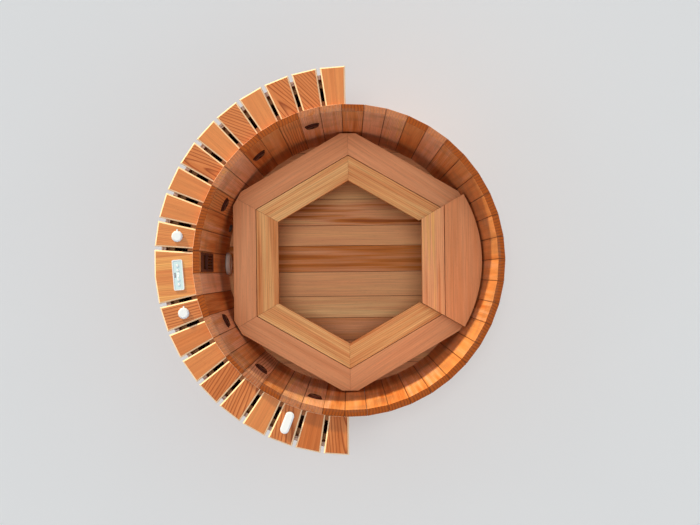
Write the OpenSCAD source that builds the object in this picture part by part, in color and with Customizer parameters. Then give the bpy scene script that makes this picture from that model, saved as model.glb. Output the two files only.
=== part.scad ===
// A staved cedar hot tub: a round tub with a hexagonal bench, one raised seat and
// six wall jets, and a half-ring shelf with controls over a boarded pipe space.
// Millimetres, +Z up. The origin is on the tub's axis at ground level, and the
// shelf and its controls lie towards -X.

/* [Tub] */
// Outside width of the tub across the flats of its staves
tub_d = 1828.8; // [1790:0.1:1880]
// Number of staves, odd so that one is centred on the skimmer
stave_count = 43; // [41:2:45]
// Thickness of a stave
stave_t = 41; // [36:0.5:46]
// Height of a stave
stave_h = 1219; // [1190:1:1300]
// Hairline between neighbouring boards
joint_gap = 0.4; // [0.2:0.1:0.8]
// How far the staves reach below the underside of the floor
chine = 70; // [50:1:80]

/* [Floor] */
// Thickness of the floor boards
floor_t = 41; // [36:0.5:46]
// How deep the floor enters the groove round the staves
croze_depth = 10; // [6:0.5:16]
// Thickness of the tongue between two floor boards
tongue_t = 12; // [8:0.5:14]
// How far a tongue stands out of its board
tongue_l = 10; // [6:0.5:14]
// Height of a joist, from the ground to the floor
joist_h = 89; // [85:1:140]
// Width of a joist
joist_w = 89; // [60:1:100]
// Distance between the middles of two joists
joist_pitch = 300; // [250:1:330]

/* [Hoops] */
// Height of a hoop band
hoop_h = 40; // [30:1:44]
// Thickness of a hoop band
hoop_t = 2; // [1:0.25:3]
// Height of the second hoop above the floor
hoop_2_rise = 275; // [250:1:300]
// Height of the third hoop above the floor
hoop_3_rise = 510; // [480:1:515]
// Depth of the top hoop below the rim
hoop_4_drop = 202; // [196:1:205]
// Opening between the two ends of a hoop
hoop_opening = 40; // [30:1:50]
// Length of a lug along the hoop
lug_l = 24; // [18:1:28]
// How far a lug stands out from the band
lug_out = 22; // [18:1:30]
// Diameter of a draw bolt
bolt_d = 10; // [8:0.5:12]

/* [Bench] */
// Depth of the five lower seats below the rim
seat_drop = 670; // [630:1:700]
// Depth of the raised seat below the rim
raised_drop = 490; // [460:1:520]
// Middle of the tub to the inner edge of a seat
seat_inner = 473; // [440:1:500]
// Middle of the tub to the joint between the two boards of a seat
seat_joint = 620; // [600:1:650]
// Middle of the tub to the outer edge of a lower seat
seat_outer = 773; // [750:1:790]
// Middle of the tub to the blunted corners of the lower seats
seat_corner = 862; // [845:1:868]
// Thickness of a seat board
seat_t = 38; // [30:0.5:45]
// Open joint between two seat boards
seat_gap = 4; // [2:0.5:8]
// Space between the seats and the wall
seat_wall_gap = 2; // [1:0.5:6]
// Space between the curved edge of the raised seat and the wall
raised_wall_gap = 13; // [6:0.5:20]
// Depth of the timber that carries the seats
arm_h = 89; // [70:1:100]
// Thickness of the timber that carries the seats
arm_w = 38; // [30:1:45]
// Width of a bench leg or batten
leg_w = 89; // [60:1:100]

/* [Shelf] */
// Length of a shelf slat, out from the tub
slat_l = 226; // [215:1:240]
// Depth of the shelf below the rim
shelf_drop = 30; // [20:1:45]
// Thickness of a shelf slat
slat_t = 38; // [30:0.5:45]
// Open gap between two slats
slat_gap = 21; // [12:0.5:26]
// Space between the slats and the tub
slat_wall_gap = 3; // [2.5:0.5:6]
// Bevel along the top edges of a slat
slat_ease = 8; // [2:0.5:9]

/* [Skirt] */
// How far the skirt boards stand in from the outer ends of the slats
skirt_inset = 32; // [28:1:36]
// Thickness of a skirt board
skirt_t = 27; // [20:0.5:30]
// Space between the skirt and the ground
skirt_clear = 12; // [5:1:30]
// Thickness of the rails and posts
rail_t = 38; // [30:0.5:40]
// Height of a rail and width of a post
rail_h = 89; // [60:1:95]
// Distance from the slats down to the top rail
rail_drop = 60; // [45:1:80]
// Thickness of an end panel
panel_t = 18; // [14:0.5:20]
// Thickness of the ledger that carries the slats at the tub
ledger_t = 43; // [30:0.5:46]
// Height of the ledger
ledger_h = 64; // [45:1:70]

/* [Jets] */
// Diameter of a jet's flange
jet_d = 95; // [85:0.5:105]
// Depth of the jets next to the skimmer below the rim
jet_drop_near = 410; // [395:1:425]
// Depth of the middle jets below the rim
jet_drop_mid = 330; // [320:1:350]
// Depth of the outermost jets below the rim
jet_drop_far = 285; // [280:1:300]
// Radius of a jet's barrel where it passes the wall
barrel_r = 30; // [28:0.5:33]
// Radius of the swivelling nozzle ball
ball_r = 16; // [14:0.5:18]
// How far the jet's face stands in from its flange
face_t = 10; // [9:0.5:14]

/* [Pipes] */
// Outside diameter of the main water pipes
main_pipe_d = 60.3; // [48:0.1:62]
// Outside diameter of the jet water pipes
jet_pipe_d = 48.3; // [42:0.1:50]
// Outside diameter of the air pipes
air_pipe_d = 33.4; // [26:0.1:35]
// Middle of the tub to the ring pipes
ring_r = 962; // [955:1:966]
// Depth of the water ring below the rim
water_ring_drop = 538; // [530:1:548]
// Depth of the air rings below the rim
air_ring_drop = 163; // [155:1:170]
// Length of a pipe's free end outside its collar
stub_l = 60; // [40:1:90]

/* [Skimmer] */
// Width of the skimmer's face
skim_w = 116; // [106:1:118]
// Height of the skimmer's face
skim_h = 384; // [376:1:390]
// Depth of the face's top edge below the rim
skim_drop = 40; // [38:1:44]
// Thickness of the face
skim_t = 8; // [6:0.5:10]
// Width of the weir opening
throat_w = 84; // [70:1:88]
// Height of the weir opening
throat_h = 80; // [70:1:84]
// Thickness of the weir flap
weir_t = 6; // [4:0.5:8]
// Depth of the skimmer's box behind the wall
skim_box_l = 126; // [120:1:128]
// Diameter of the filter cartridge
filter_d = 100; // [80:1:106]

/* [Wall fittings] */
// Diameter of the suction cover
suction_d = 157; // [140:1:170]
// Height of the suction fitting above the floor
suction_rise = 95; // [90:1:110]
// How far the suction cover stands in from the wall
suction_out = 35; // [28:1:42]
// Diameter of the return fitting's cap
return_d = 57; // [50:1:64]
// Height of the return fitting above the floor
return_rise = 160; // [150:1:190]

/* [Controls] */
// Diameter of an air knob
knob_d = 66; // [58:1:72]
// Height of an air knob
knob_h = 18; // [14:0.5:24]
// From the inner ends of the slats to the middle of the knobs
knob_out = 100; // [97:1:102]
// Length of the diverter handle
handle_l = 135; // [120:1:145]
// Width of the diverter handle
handle_w = 53; // [44:1:60]
// Length of the control panel round the tub
control_l = 180; // [165:1:190]
// Width of the control panel
control_w = 62; // [56:1:68]
// Diameter of a button
button_d = 16; // [12:0.5:18]
// Distance a button travels
button_travel = 1; // [0.6:0.1:1.4]

/* [Hidden] */
$fn = 72;

// Clearance round a part that passes through a hole, and of a turning fit
fit = 0.3;
running = 0.05;

// Tub
out_r = tub_d / 2;
in_r = out_r - stave_t;
stave_step = 360 / stave_count;
mid_stave = (stave_count - 1) / 2;
floor_z = joist_h;
floor_top = floor_z + floor_t;
stave_z = floor_z - chine;
rim_z = stave_z + stave_h;
floor_r = in_r + croze_depth - fit;
// Seams between the floor boards, from the middle of the tub along Y
floor_seams = [-722, -560, -397, -242, -65, 125, 271, 462, 640, 795];
joist_places = [-2, -1, 0, 1, 2];

// Hoops: middle height of each band and the stave that its lugs are on
hoop_z = [floor_z + floor_t / 2, floor_top + hoop_2_rise, floor_top + hoop_3_rise, rim_z - hoop_4_drop];
lug_staves = [-5, -3, -5, -3];
nut_l = 9;

// Bench: the timbers stand at the six corners of the hexagon
seat_z = rim_z - seat_drop;
raised_z = rim_z - raised_drop;
low_seats = [60, 120, 180, 240, 300];
low_corners = [90, 150, 210, 270];
mitre_gap = 0.8;
corner_r = seat_inner / cos(30);
arm_in = corner_r + 15;
arm_out = in_r - 22;
leg_in = corner_r + 62;
leg_out = arm_out - leg_w;
// A timber beside a corner stands this far off the mitre line
beside = arm_w / 2 + 1;

// Shelf
slat_spaces = 21;
slat_step = 180 / slat_spaces;
slat_top = rim_z - shelf_drop;
slat_z = slat_top - slat_t;
slat_in = out_r / cos(stave_step / 2) + slat_wall_gap;
shelf_r = slat_in + slat_l;
knob_r = slat_in + knob_out;
// The panel's middle stands in from the knobs
panel_in = 11;
panel_r = knob_r - panel_in;
control_i = 10;
knob_slats = [9, 12];
diverter_slat = 18;
post_slats = [0, 4, 7, 13, 16, 20];
control_a = 90 + (control_i + 1) * slat_step;

// Skirt
skirt_r = shelf_r - skirt_inset;
skirt_in = skirt_r - skirt_t;
rail_in = skirt_in - rail_t;
foot_rail_z = 60;
water_ring_z = rim_z - water_ring_drop;
// The middle rail's underside lies this far below the water ring
mid_rail_drop = 170;
rail_z = [foot_rail_z, water_ring_z - mid_rail_drop, slat_z - rail_drop - rail_h];
// The end panels stand in from the first and last slats
end_in = slat_gap / 2 + 2;
post_out = skirt_in / cos(slat_step / 2) - rail_h / 2 * tan(slat_step / 2);
ledger_out = out_r + ledger_t;
// Slat spaces that one length of the ledger spans
ledger_spaces = 3;

// Jets, three on each side of the skimmer
jet_every = 3;
jet_side = [-3, -2, -1, 1, 2, 3];
jet_drops = [jet_drop_near, jet_drop_mid, jet_drop_far];
jet_flange_t = 6;
jet_wall = 6;
jet_back = ring_r - in_r + air_pipe_d / 2 + 8;
jet_bore_r = barrel_r - jet_wall;
stem_l = 32;
ball_x = -jet_flange_t - face_t + ball_r - 1;
jet_nut_t = 14;
jet_nut_r = barrel_r + 13;

// Pipes
air_ring_z = rim_z - air_ring_drop;
collar_t = 6;
collar_in = skirt_r / cos(slat_step / 2) + 1;
stub_end = collar_in + collar_t + stub_l;
suction_z = floor_top + suction_rise;
return_z = floor_top + return_rise;
return_stave = mid_stave - 2;
feed_a = 90 + 12 * slat_step;
feed_z = suction_z;
feed_r = knob_r;
diverter_l = 150;
pipe_wall = 4;
tee_t = 3;
pipe_clear = 3;

// Skimmer, on the stave at the middle of the shelf
skim_z = rim_z - skim_drop - skim_h;
throat_top = slat_z - 16;
throat_z = throat_top - throat_h;
cheek_t = 4;
cheek_l = 22;
lower_z = skim_z + 26;
lower_h = hoop_z[3] - hoop_h / 2 - 12 - lower_z;
skim_box_w = 124;
skim_box_z = skim_z - 14;
skim_box_top = slat_z - 6;
skim_wall = 4;
slot_w = 11;
slot_count = 5;
sill_l = 10;
weir_x = in_r + weir_t / 2 + 5;
weir_pin_r = 2.5;
weir_pin_z = throat_z + weir_pin_r + 2;
filter_h = 215;
filter_x = out_r + skim_box_l / 2 + 2;
filter_seat_h = 16;
filter_z = skim_box_z + skim_wall + filter_seat_h;
filter_core_r = 22;
outlet_r = out_r + skim_box_l - jet_pipe_d / 2 - fit;

// Wall fittings
wall_hole_r = main_pipe_d / 2 + 1;
return_hole_r = jet_pipe_d / 2 + 1;

// Controls
knob_gap = 0.5;
valve_r = 20;
valve_drop = slat_t + 72;
neck_r = 22;
neck_flange_r = neck_r + 3;
handle_t = 14;
handle_rise = 7;
bezel_t = 5;
bezel_w = 7;
bezel_r = 9;
housing_t = 3;
housing_h = slat_t + 4;
face_in = 1.5;
face_plate_t = 2.5;
button_y = [-56, -27, 27, 56];
button_rise = 2.5;
board_t = 1.6;

function stave_a(k) = (k + 0.5) * stave_step;
function slat_a(i) = 90 + (i + 0.5) * slat_step;
function jet_a(i) = stave_a(mid_stave + jet_every * jet_side[i]);
function jet_z(i) = rim_z - jet_drops[abs(jet_side[i]) - 1];
function is_jet_stave(k) = len([for (s = jet_side) if (mid_stave + jet_every * s == k) s]) > 0;
function is_in(list, v) = len([for (x = list) if (x == v) x]) > 0;
// A corner of a ring whose flats, half_a each side of a corner, lie r from the middle
function corner(a, r, half_a) = r / cos(half_a) * [cos(a), sin(a)];

// ---- shared shapes ----

// Places something r out from the axis at angle a, with X outwards and Y round the tub
module at(a, r = 0, z = 0) {
    rotate([0, 0, a]) translate([r, 0, z]) children();
}

// Turns something that is made along Z so that it points outwards
module outwards() {
    rotate([0, 90, 0]) children();
}

// The tub's own outline, a regular polygon with one corner at 0 degrees
module tub_outline(r) {
    polygon([for (k = [0 : stave_count - 1]) corner(k * stave_step, r, stave_step / 2)]);
}

// A board seen from above: flats at r0 and r1, and sides half_a either way less half a gap
module wedge(r0, r1, half_a, gap) {
    polygon([
        [r0, -r0 * tan(half_a) + gap / 2],
        [r1, -r1 * tan(half_a) + gap / 2],
        [r1, r1 * tan(half_a) - gap / 2],
        [r0, r0 * tan(half_a) - gap / 2]
    ]);
}

// A tube along Z
module tube(r, bore, h) {
    difference() {
        cylinder(r = r, h = h);
        translate([0, 0, -1]) cylinder(r = bore, h = h + 2);
    }
}

// Cuts a bevel of c off a top edge that runs along X. The board lies below the edge
// and to one side of it, towards +Y for side 1 and -Y for side -1
module ease(l, c, side) {
    reach = c / sqrt(2) + 3;
    translate([-4, 0, 0]) rotate([side * 45, 0, 0])
        translate([0, -reach, -c / sqrt(2)]) cube([l + 8, 2 * reach, 2 * c]);
}

module rounded_plate(l, w, r) {
    square([w, l - 2 * r], center = true);
    square([w - 2 * r, l], center = true);
    for (x = [-1, 1], y = [-1, 1]) translate([x * (w / 2 - r), y * (l / 2 - r)]) circle(r = r);
}

// ---- tub ----

module floor_joists() {
    color("#a5714c")
    for (i = joist_places) {
        reach = sqrt(pow(in_r - 8, 2) - pow(abs(i) * joist_pitch + joist_w / 2, 2));
        translate([i * joist_pitch - joist_w / 2, -reach, 0]) cube([joist_w, 2 * reach, joist_h]);
    }
}

module floor_board(y0, y1) {
    mid = floor_t / 2;
    half = tongue_t / 2;
    deep = tongue_l + fit;
    translate([-tub_d / 2, 0, floor_z]) rotate([90, 0, 90]) linear_extrude(tub_d)
        polygon([
            [y0, 0], [y1, 0],
            [y1, mid - half], [y1 + tongue_l, mid - half],
            [y1 + tongue_l, mid + half], [y1, mid + half],
            [y1, floor_t], [y0, floor_t],
            [y0, mid + half + fit], [y0 + deep, mid + half + fit],
            [y0 + deep, mid - half - fit], [y0, mid - half - fit]
        ]);
}

module floor_boards() {
    edges = concat([-tub_d / 2], floor_seams, [tub_d / 2]);
    color("#b9744a")
    for (i = [0 : len(edges) - 2])
        intersection() {
            translate([0, 0, floor_z]) linear_extrude(floor_t) tub_outline(floor_r);
            floor_board(edges[i] + joint_gap / 2, edges[i + 1] - joint_gap / 2);
        }
}

// One stave with the groove for the floor
module stave(k) {
    difference() {
        at(stave_a(k), 0, stave_z) linear_extrude(stave_h) wedge(in_r, out_r, stave_step / 2, joint_gap);
        at(stave_a(k), in_r - 1, floor_z - fit)
            translate([0, -tub_d / 8, 0]) cube([croze_depth + 1, tub_d / 4, floor_t + 2 * fit]);
    }
}

module plain_staves() {
    color("#b4683a")
    for (k = [0 : stave_count - 1])
        if (k != mid_stave && k != return_stave && !is_jet_stave(k)) stave(k);
}

module bored_staves() {
    color("#ad6236") {
        for (i = [0 : len(jet_side) - 1])
            difference() {
                stave(mid_stave + jet_every * jet_side[i]);
                at(jet_a(i), in_r - 1, jet_z(i)) outwards() cylinder(r = barrel_r + 1, h = stave_t + 2);
            }
        difference() {
            stave(return_stave);
            at(stave_a(return_stave), in_r - 1, return_z) outwards()
                cylinder(r = return_hole_r, h = stave_t + 2);
        }
    }
}

module skimmer_stave() {
    opening = throat_w + 2 * cheek_t + 2;
    color("#ad6236")
    difference() {
        stave(mid_stave);
        at(180, in_r - 1, throat_z - 5) translate([0, -opening / 2, 0]) cube([stave_t + 2, opening, throat_h + 10]);
        at(180, in_r - 1, lower_z) translate([0, -opening / 2, 0]) cube([stave_t + 2, opening, lower_h]);
        at(180, in_r - 1, suction_z) outwards() cylinder(r = wall_hole_r, h = stave_t + 2);
    }
}

module hoops() {
    color("#c9ccd0")
    for (i = [0 : len(hoop_z) - 1]) {
        a = stave_a(lug_staves[i]);
        difference() {
            union() {
                difference() {
                    translate([0, 0, hoop_z[i] - hoop_h / 2]) linear_extrude(hoop_h)
                        difference() {
                            tub_outline(out_r + hoop_t);
                            tub_outline(out_r);
                        }
                    at(a, out_r - 1, hoop_z[i]) translate([0, -hoop_opening / 2, -hoop_h])
                        cube([hoop_t + 10, hoop_opening, 2 * hoop_h]);
                }
                for (s = [-1, 1])
                    at(a, out_r + hoop_t - 0.5, hoop_z[i])
                        translate([0, s * (hoop_opening + lug_l) / 2 - lug_l / 2, -hoop_h / 2])
                            cube([lug_out + 0.5, lug_l, hoop_h]);
            }
            at(a, out_r + hoop_t + lug_out / 2, hoop_z[i]) rotate([90, 0, 0])
                cylinder(r = bolt_d / 2 + fit, h = tub_d / 4, center = true);
        }
    }
}

module hoop_bolts() {
    reach = hoop_opening / 2 + lug_l;
    color("#aeb2b6")
    for (i = [0 : len(hoop_z) - 1])
        at(stave_a(lug_staves[i]), out_r + hoop_t + lug_out / 2, hoop_z[i]) rotate([90, 0, 0]) {
            cylinder(r = bolt_d / 2, h = 2 * (reach + nut_l + 6), center = true);
            for (s = [-1, 1]) translate([0, 0, s * (reach + nut_l / 2)])
                cylinder(r = bolt_d * 0.95, h = nut_l, center = true, $fn = 6);
        }
}

// ---- bench ----

module seat_board(a, r0, r1, top) {
    difference() {
        intersection() {
            at(a, 0, top - seat_t) linear_extrude(seat_t) wedge(r0, r1, 30, mitre_gap);
            translate([0, 0, top - seat_t - 1]) linear_extrude(seat_t + 2) tub_outline(in_r - seat_wall_gap);
        }
        for (c = low_corners) at(c, seat_corner, top - seat_t - 1) translate([0, -seat_corner / 2, 0])
            cube([seat_corner, seat_corner, seat_t + 2]);
    }
}

module bench_inner_boards() {
    color("#cf9a6f")
    for (a = low_seats) seat_board(a, seat_inner, seat_joint - seat_gap / 2, seat_z);
}

module bench_outer_boards() {
    color("#c58566")
    for (a = low_seats) seat_board(a, seat_joint + seat_gap / 2, seat_outer, seat_z);
}

// The raised seat follows the curve of the wall
module raised_seat_boards() {
    color("#c58566") {
        seat_board(0, seat_inner, seat_joint - seat_gap / 2, raised_z);
        intersection() {
            at(0, 0, raised_z - seat_t) linear_extrude(seat_t)
                wedge(seat_joint + seat_gap / 2, in_r, 30, mitre_gap);
            translate([0, 0, raised_z - seat_t - 1])
                cylinder(r = in_r - raised_wall_gap, h = seat_t + 2, $fn = 180);
        }
    }
}

// A timber from the well to the wall, off to one side of its corner
module arm(a, side, top) {
    at(a, arm_in, top - seat_t - arm_h) translate([0, side - arm_w / 2, 0])
        cube([arm_out - arm_in, arm_w, arm_h]);
}

// Two legs under an arm, as wide as the arm and the batten they are cut from
module arm_legs(a, side, top) {
    h = top - seat_t - arm_h - floor_top;
    for (r = [leg_in, leg_out])
        at(a, r, floor_top) translate([0, side - arm_w / 2, 0]) cube([leg_w, arm_w, h]);
}

module bench_bearers() {
    color("#b37a52") {
        for (a = low_corners) arm(a, 0, seat_z);
        for (s = [-1, 1]) {
            arm(s * 30, s * beside, seat_z);
            arm(s * 30, -s * beside, raised_z);
        }
    }
}

module bench_legs() {
    color("#ad744d") {
        for (a = low_corners) arm_legs(a, 0, seat_z);
        for (s = [-1, 1]) {
            arm_legs(s * 30, s * beside, seat_z);
            arm_legs(s * 30, -s * beside, raised_z);
        }
    }
}

module batten(a, reach, top) {
    at(a, seat_inner + 14, top - seat_t - arm_w) translate([0, -leg_w / 2, 0])
        cube([reach - seat_inner - 14, leg_w, arm_w]);
}

module bench_battens() {
    color("#b37a52") {
        for (a = low_seats) batten(a, seat_outer - 14, seat_z);
        batten(0, in_r - raised_wall_gap - 14, raised_z);
    }
}

// ---- shelf ----

// One slat, with its two long edges and its outer end eased
module slat(i) {
    half_w = shelf_r * tan(slat_step / 2) - slat_gap / 2;
    at(slat_a(i), 0, slat_z) difference() {
        linear_extrude(slat_t) wedge(slat_in, shelf_r, slat_step / 2, slat_gap);
        for (s = [-1, 1])
            translate([shelf_r, s * half_w, slat_t]) rotate([0, 0, 180 + s * slat_step / 2])
                ease(slat_l + 20, slat_ease, s);
        translate([shelf_r, -half_w, slat_t]) rotate([0, 0, 90]) ease(2 * half_w, slat_ease, 1);
    }
}

module shelf_slats() {
    color("#cf8a55")
    for (i = [0 : slat_spaces - 1])
        if (i != control_i && i != control_i + 1 && i != diverter_slat && !is_in(knob_slats, i)) slat(i);
}

module valve_slats() {
    color("#cf8a55") {
        for (i = knob_slats) difference() {
            slat(i);
            at(slat_a(i), knob_r, slat_z - 1) cylinder(r = valve_r + 1, h = slat_t + 2);
        }
        difference() {
            slat(diverter_slat);
            at(slat_a(diverter_slat), knob_r, slat_z - 1) cylinder(r = neck_r + 1, h = slat_t + 2);
        }
    }
}

// The wide slat spans two spaces and has a two-sided outer end
module control_slat() {
    half = slat_step / 2;
    a0 = control_a - slat_step;
    a1 = control_a + slat_step;
    color("#cf8a55")
    difference() {
        translate([0, 0, slat_z]) linear_extrude(slat_t) polygon([
            corner(a0, slat_in, half), corner(a0, shelf_r, half),
            corner(control_a, shelf_r, half),
            corner(a1, shelf_r, half), corner(a1, slat_in, half),
            corner(control_a, slat_in, half)
        ]);
        for (a = [a0, a1])
            at(a, 0, slat_z - 1) translate([0, -slat_gap / 2, 0]) cube([shelf_r * 1.1, slat_gap, slat_t + 2]);
        for (s = [-1, 1]) {
            at(control_a + s * slat_step, slat_in - 10, slat_top) translate([0, -s * slat_gap / 2, 0])
                ease(shelf_r, slat_ease, -s);
            at(control_a + s * half, shelf_r, slat_top) translate([0, -slat_gap * 5, 0]) rotate([0, 0, 90])
                ease(slat_gap * 10, slat_ease, 1);
        }
        at(control_a, panel_r, slat_z - 1) linear_extrude(slat_t + 2)
            rounded_plate(control_l - 2 * bezel_w + 2, control_w - 2 * bezel_w + 2, 3);
    }
}

// The ledger follows the staves in short lengths and stops each side of the skimmer
module inner_ledger() {
    color("#c58c5e")
    difference() {
        translate([0, 0, slat_z - ledger_h]) linear_extrude(ledger_h) difference() {
            tub_outline(ledger_out);
            tub_outline(out_r);
        }
        translate([-end_in - panel_t - fit, -tub_d, 0]) cube([2 * tub_d, 2 * tub_d, 2 * tub_d]);
        at(180, 0, 0) translate([0, -skim_box_w / 2 - 2, 0]) cube([tub_d, skim_box_w + 4, 2 * tub_d]);
        for (i = [ledger_spaces : ledger_spaces : slat_spaces - 1])
            at(90 + i * slat_step, out_r - 10, 0) translate([0, -joint_gap / 2, 0])
                cube([ledger_t + 20, joint_gap, 2 * tub_d]);
    }
}

// ---- skirt ----

// A ring from the first end panel to the other, with a corner in the middle of each slat
module skirt_ring(r0, r1) {
    n = slat_spaces;
    difference() {
        polygon(concat(
            [for (i = [-1 : n]) corner(slat_a(i), r1, slat_step / 2)],
            [for (i = [n : -1 : -1]) corner(slat_a(i), r0, slat_step / 2)]
        ));
        translate([-end_in, -2 * r1]) square([2 * r1, 4 * r1]);
    }
}

module post_block(i, extra) {
    at(slat_a(i), post_out - rail_t, 0) translate([0, -rail_h / 2 - extra, 0])
        cube([rail_t + extra, rail_h + 2 * extra, slat_z]);
}

module skirt_rails() {
    color("#b37a52")
    for (z = rail_z)
        difference() {
            translate([0, 0, z]) linear_extrude(rail_h) intersection() {
                skirt_ring(rail_in, skirt_in);
                polygon([[0, 0], 2 * shelf_r * [cos(slat_a(0)), sin(slat_a(0))],
                    [-3 * shelf_r, 0],
                    2 * shelf_r * [cos(slat_a(slat_spaces - 1)), sin(slat_a(slat_spaces - 1))]]);
            }
            for (i = post_slats) translate([0, 0, -1]) {
                at(slat_a(i), rail_in - 10, 0) translate([0, -rail_h / 2 - fit, 0])
                    cube([2 * rail_t, rail_h + 2 * fit, slat_z + 10]);
            }
        }
}

module skirt_posts() {
    color("#ad744d")
    for (i = post_slats) post_block(i, 0);
}

// Skirt boards are centred on the gaps between slats, with a half board at each end
module skirt_boards() {
    hole_h = 2 * skirt_t + 20;
    color("#bf7a48")
    difference() {
        translate([0, 0, skirt_clear]) linear_extrude(slat_z - skirt_clear) difference() {
            skirt_ring(skirt_in, skirt_r);
            for (i = [0 : slat_spaces - 1])
                rotate(slat_a(i)) translate([skirt_in - 10, -joint_gap]) square([skirt_t + 30, 2 * joint_gap]);
        }
        at(180, skirt_in - 10, suction_z) outwards() cylinder(r = main_pipe_d / 2 + pipe_clear, h = hole_h);
        at(feed_a, skirt_in - 10, feed_z) outwards() cylinder(r = main_pipe_d / 2 + pipe_clear, h = hole_h);
        at(stave_a(return_stave), skirt_in - 10, return_z) outwards()
            cylinder(r = jet_pipe_d / 2 + pipe_clear, h = hole_h);
    }
}

module end_panels() {
    from = out_r / cos(stave_step / 2) + hoop_t + 2;
    color("#bf7a48")
    for (s = [-1, 1])
        translate([-end_in - panel_t, s > 0 ? from : -skirt_in, skirt_clear])
            cube([panel_t, skirt_in - from, slat_z - skirt_clear]);
}

// ---- screws, driven from below ----

module screw(l) {
    cylinder(r = 2.5, h = l);
    cylinder(r1 = 5, r2 = 2.5, h = 4);
}

module wood_screws() {
    l = arm_w + seat_t * 0.6;
    color("#b8b8b4") {
        for (a = low_seats, r = [seat_inner + 60, seat_joint - 50, seat_joint + 50, seat_outer - 50], y = [-26, 26])
            at(a, r, seat_z - seat_t - arm_w) translate([0, y, 0]) screw(l);
        for (r = [seat_inner + 60, seat_joint - 50, seat_joint + 50, in_r - raised_wall_gap - 60], y = [-26, 26])
            at(0, r, raised_z - seat_t - arm_w) translate([0, y, 0]) screw(l);
        for (i = [0 : slat_spaces - 1])
            if (i != control_i) at(slat_a(i), out_r + ledger_t * 0.6, slat_z - ledger_h) screw(ledger_h + slat_t * 0.6);
    }
}

// ---- jets ----

// A jet's body: flange on the inside of the wall, barrel through it, a water socket
// below and an air socket above
module jet_body() {
    port = ring_r - in_r;
    difference() {
        union() {
            translate([0, 0, -jet_flange_t]) cylinder(r1 = jet_d / 2 - 3, r2 = jet_d / 2, h = 3);
            translate([0, 0, -jet_flange_t + 3]) cylinder(r = jet_d / 2, h = jet_flange_t - 3);
            cylinder(r = barrel_r, h = jet_back);
            translate([0, 0, port]) rotate([0, 90, 0]) cylinder(r = jet_pipe_d / 2 + 3, h = barrel_r + 20);
            translate([0, 0, port]) rotate([0, -90, 0]) cylinder(r = air_pipe_d / 2 + 3, h = barrel_r + 16);
        }
        translate([0, 0, -jet_flange_t - 1]) cylinder(r = jet_bore_r, h = jet_back + jet_flange_t + 1 - jet_wall);
        translate([0, 0, port]) rotate([0, 90, 0]) cylinder(r = jet_pipe_d / 2, h = barrel_r + 21);
        translate([0, 0, port]) rotate([0, -90, 0]) cylinder(r = air_pipe_d / 2, h = barrel_r + 17);
    }
}

module jet_bodies() {
    color("#4a372d")
    for (i = [0 : 5]) at(jet_a(i), in_r, jet_z(i)) outwards() jet_body();
}

module jet_nuts() {
    color("#3b3b3c")
    for (i = [0 : 5]) at(jet_a(i), out_r, jet_z(i)) outwards() difference() {
        cylinder(r = jet_nut_r, h = jet_nut_t, $fn = 8);
        translate([0, 0, -1]) cylinder(r = barrel_r + fit, h = jet_nut_t + 2);
    }
}

// The turning face with its scalloped rim, its stem in the barrel and the ball's socket
module jet_face(i) {
    rim_r = jet_d / 2 - 6;
    front = -jet_flange_t - fit - face_t;
    color("#33241c")
    at(jet_a(i), in_r, jet_z(i)) outwards() difference() {
        union() {
            translate([0, 0, front]) cylinder(r1 = rim_r - 5, r2 = rim_r, h = 5);
            translate([0, 0, front + 5]) cylinder(r = rim_r, h = face_t - 5);
            translate([0, 0, front + face_t]) cylinder(r = jet_bore_r - running, h = stem_l);
        }
        translate([0, 0, ball_x]) sphere(r = ball_r + fit);
        translate([0, 0, front - 1]) cylinder(r = ball_r * 0.86, h = ball_x - front + 1);
        translate([0, 0, ball_x]) cylinder(r = ball_r * 0.7, h = 100);
        for (k = [0 : 11]) rotate(k * 30) translate([rim_r + 2, 0, front - 1]) cylinder(r = 5, h = 9, $fn = 24);
    }
}

// The nozzle: a ball with a short snout, bored through
module jet_nozzle(i) {
    color("#2a1f19")
    at(jet_a(i), in_r, jet_z(i)) outwards() translate([0, 0, ball_x]) difference() {
        union() {
            sphere(r = ball_r);
            translate([0, 0, -ball_r - 2]) cylinder(r = ball_r * 0.55, h = ball_r);
        }
        translate([0, 0, -ball_r - 4]) cylinder(r = ball_r * 0.38, h = 2 * ball_r + 8);
    }
}

// ---- pipes ----

module ring_pipe(a0, a1, d) {
    rotate([0, 0, a0]) rotate_extrude(angle = a1 - a0) translate([ring_r, 0]) circle(r = d / 2);
}

// A short upright sleeve where pipes join
module tee(a, r, z, d) {
    at(a, r, z - d / 2 - 6) cylinder(r = d / 2 + tee_t, h = d + 12);
}

// A hollow pipe from r out through the skirt, with a collar against the boards
module pipe_end(r, d) {
    difference() {
        union() {
            translate([0, 0, r]) cylinder(r = d / 2, h = stub_end - r);
            translate([0, 0, collar_in]) cylinder(r = d / 2 + 10, h = collar_t);
        }
        translate([0, 0, r + main_pipe_d]) cylinder(r = d / 2 - pipe_wall, h = stub_end);
    }
}

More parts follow.
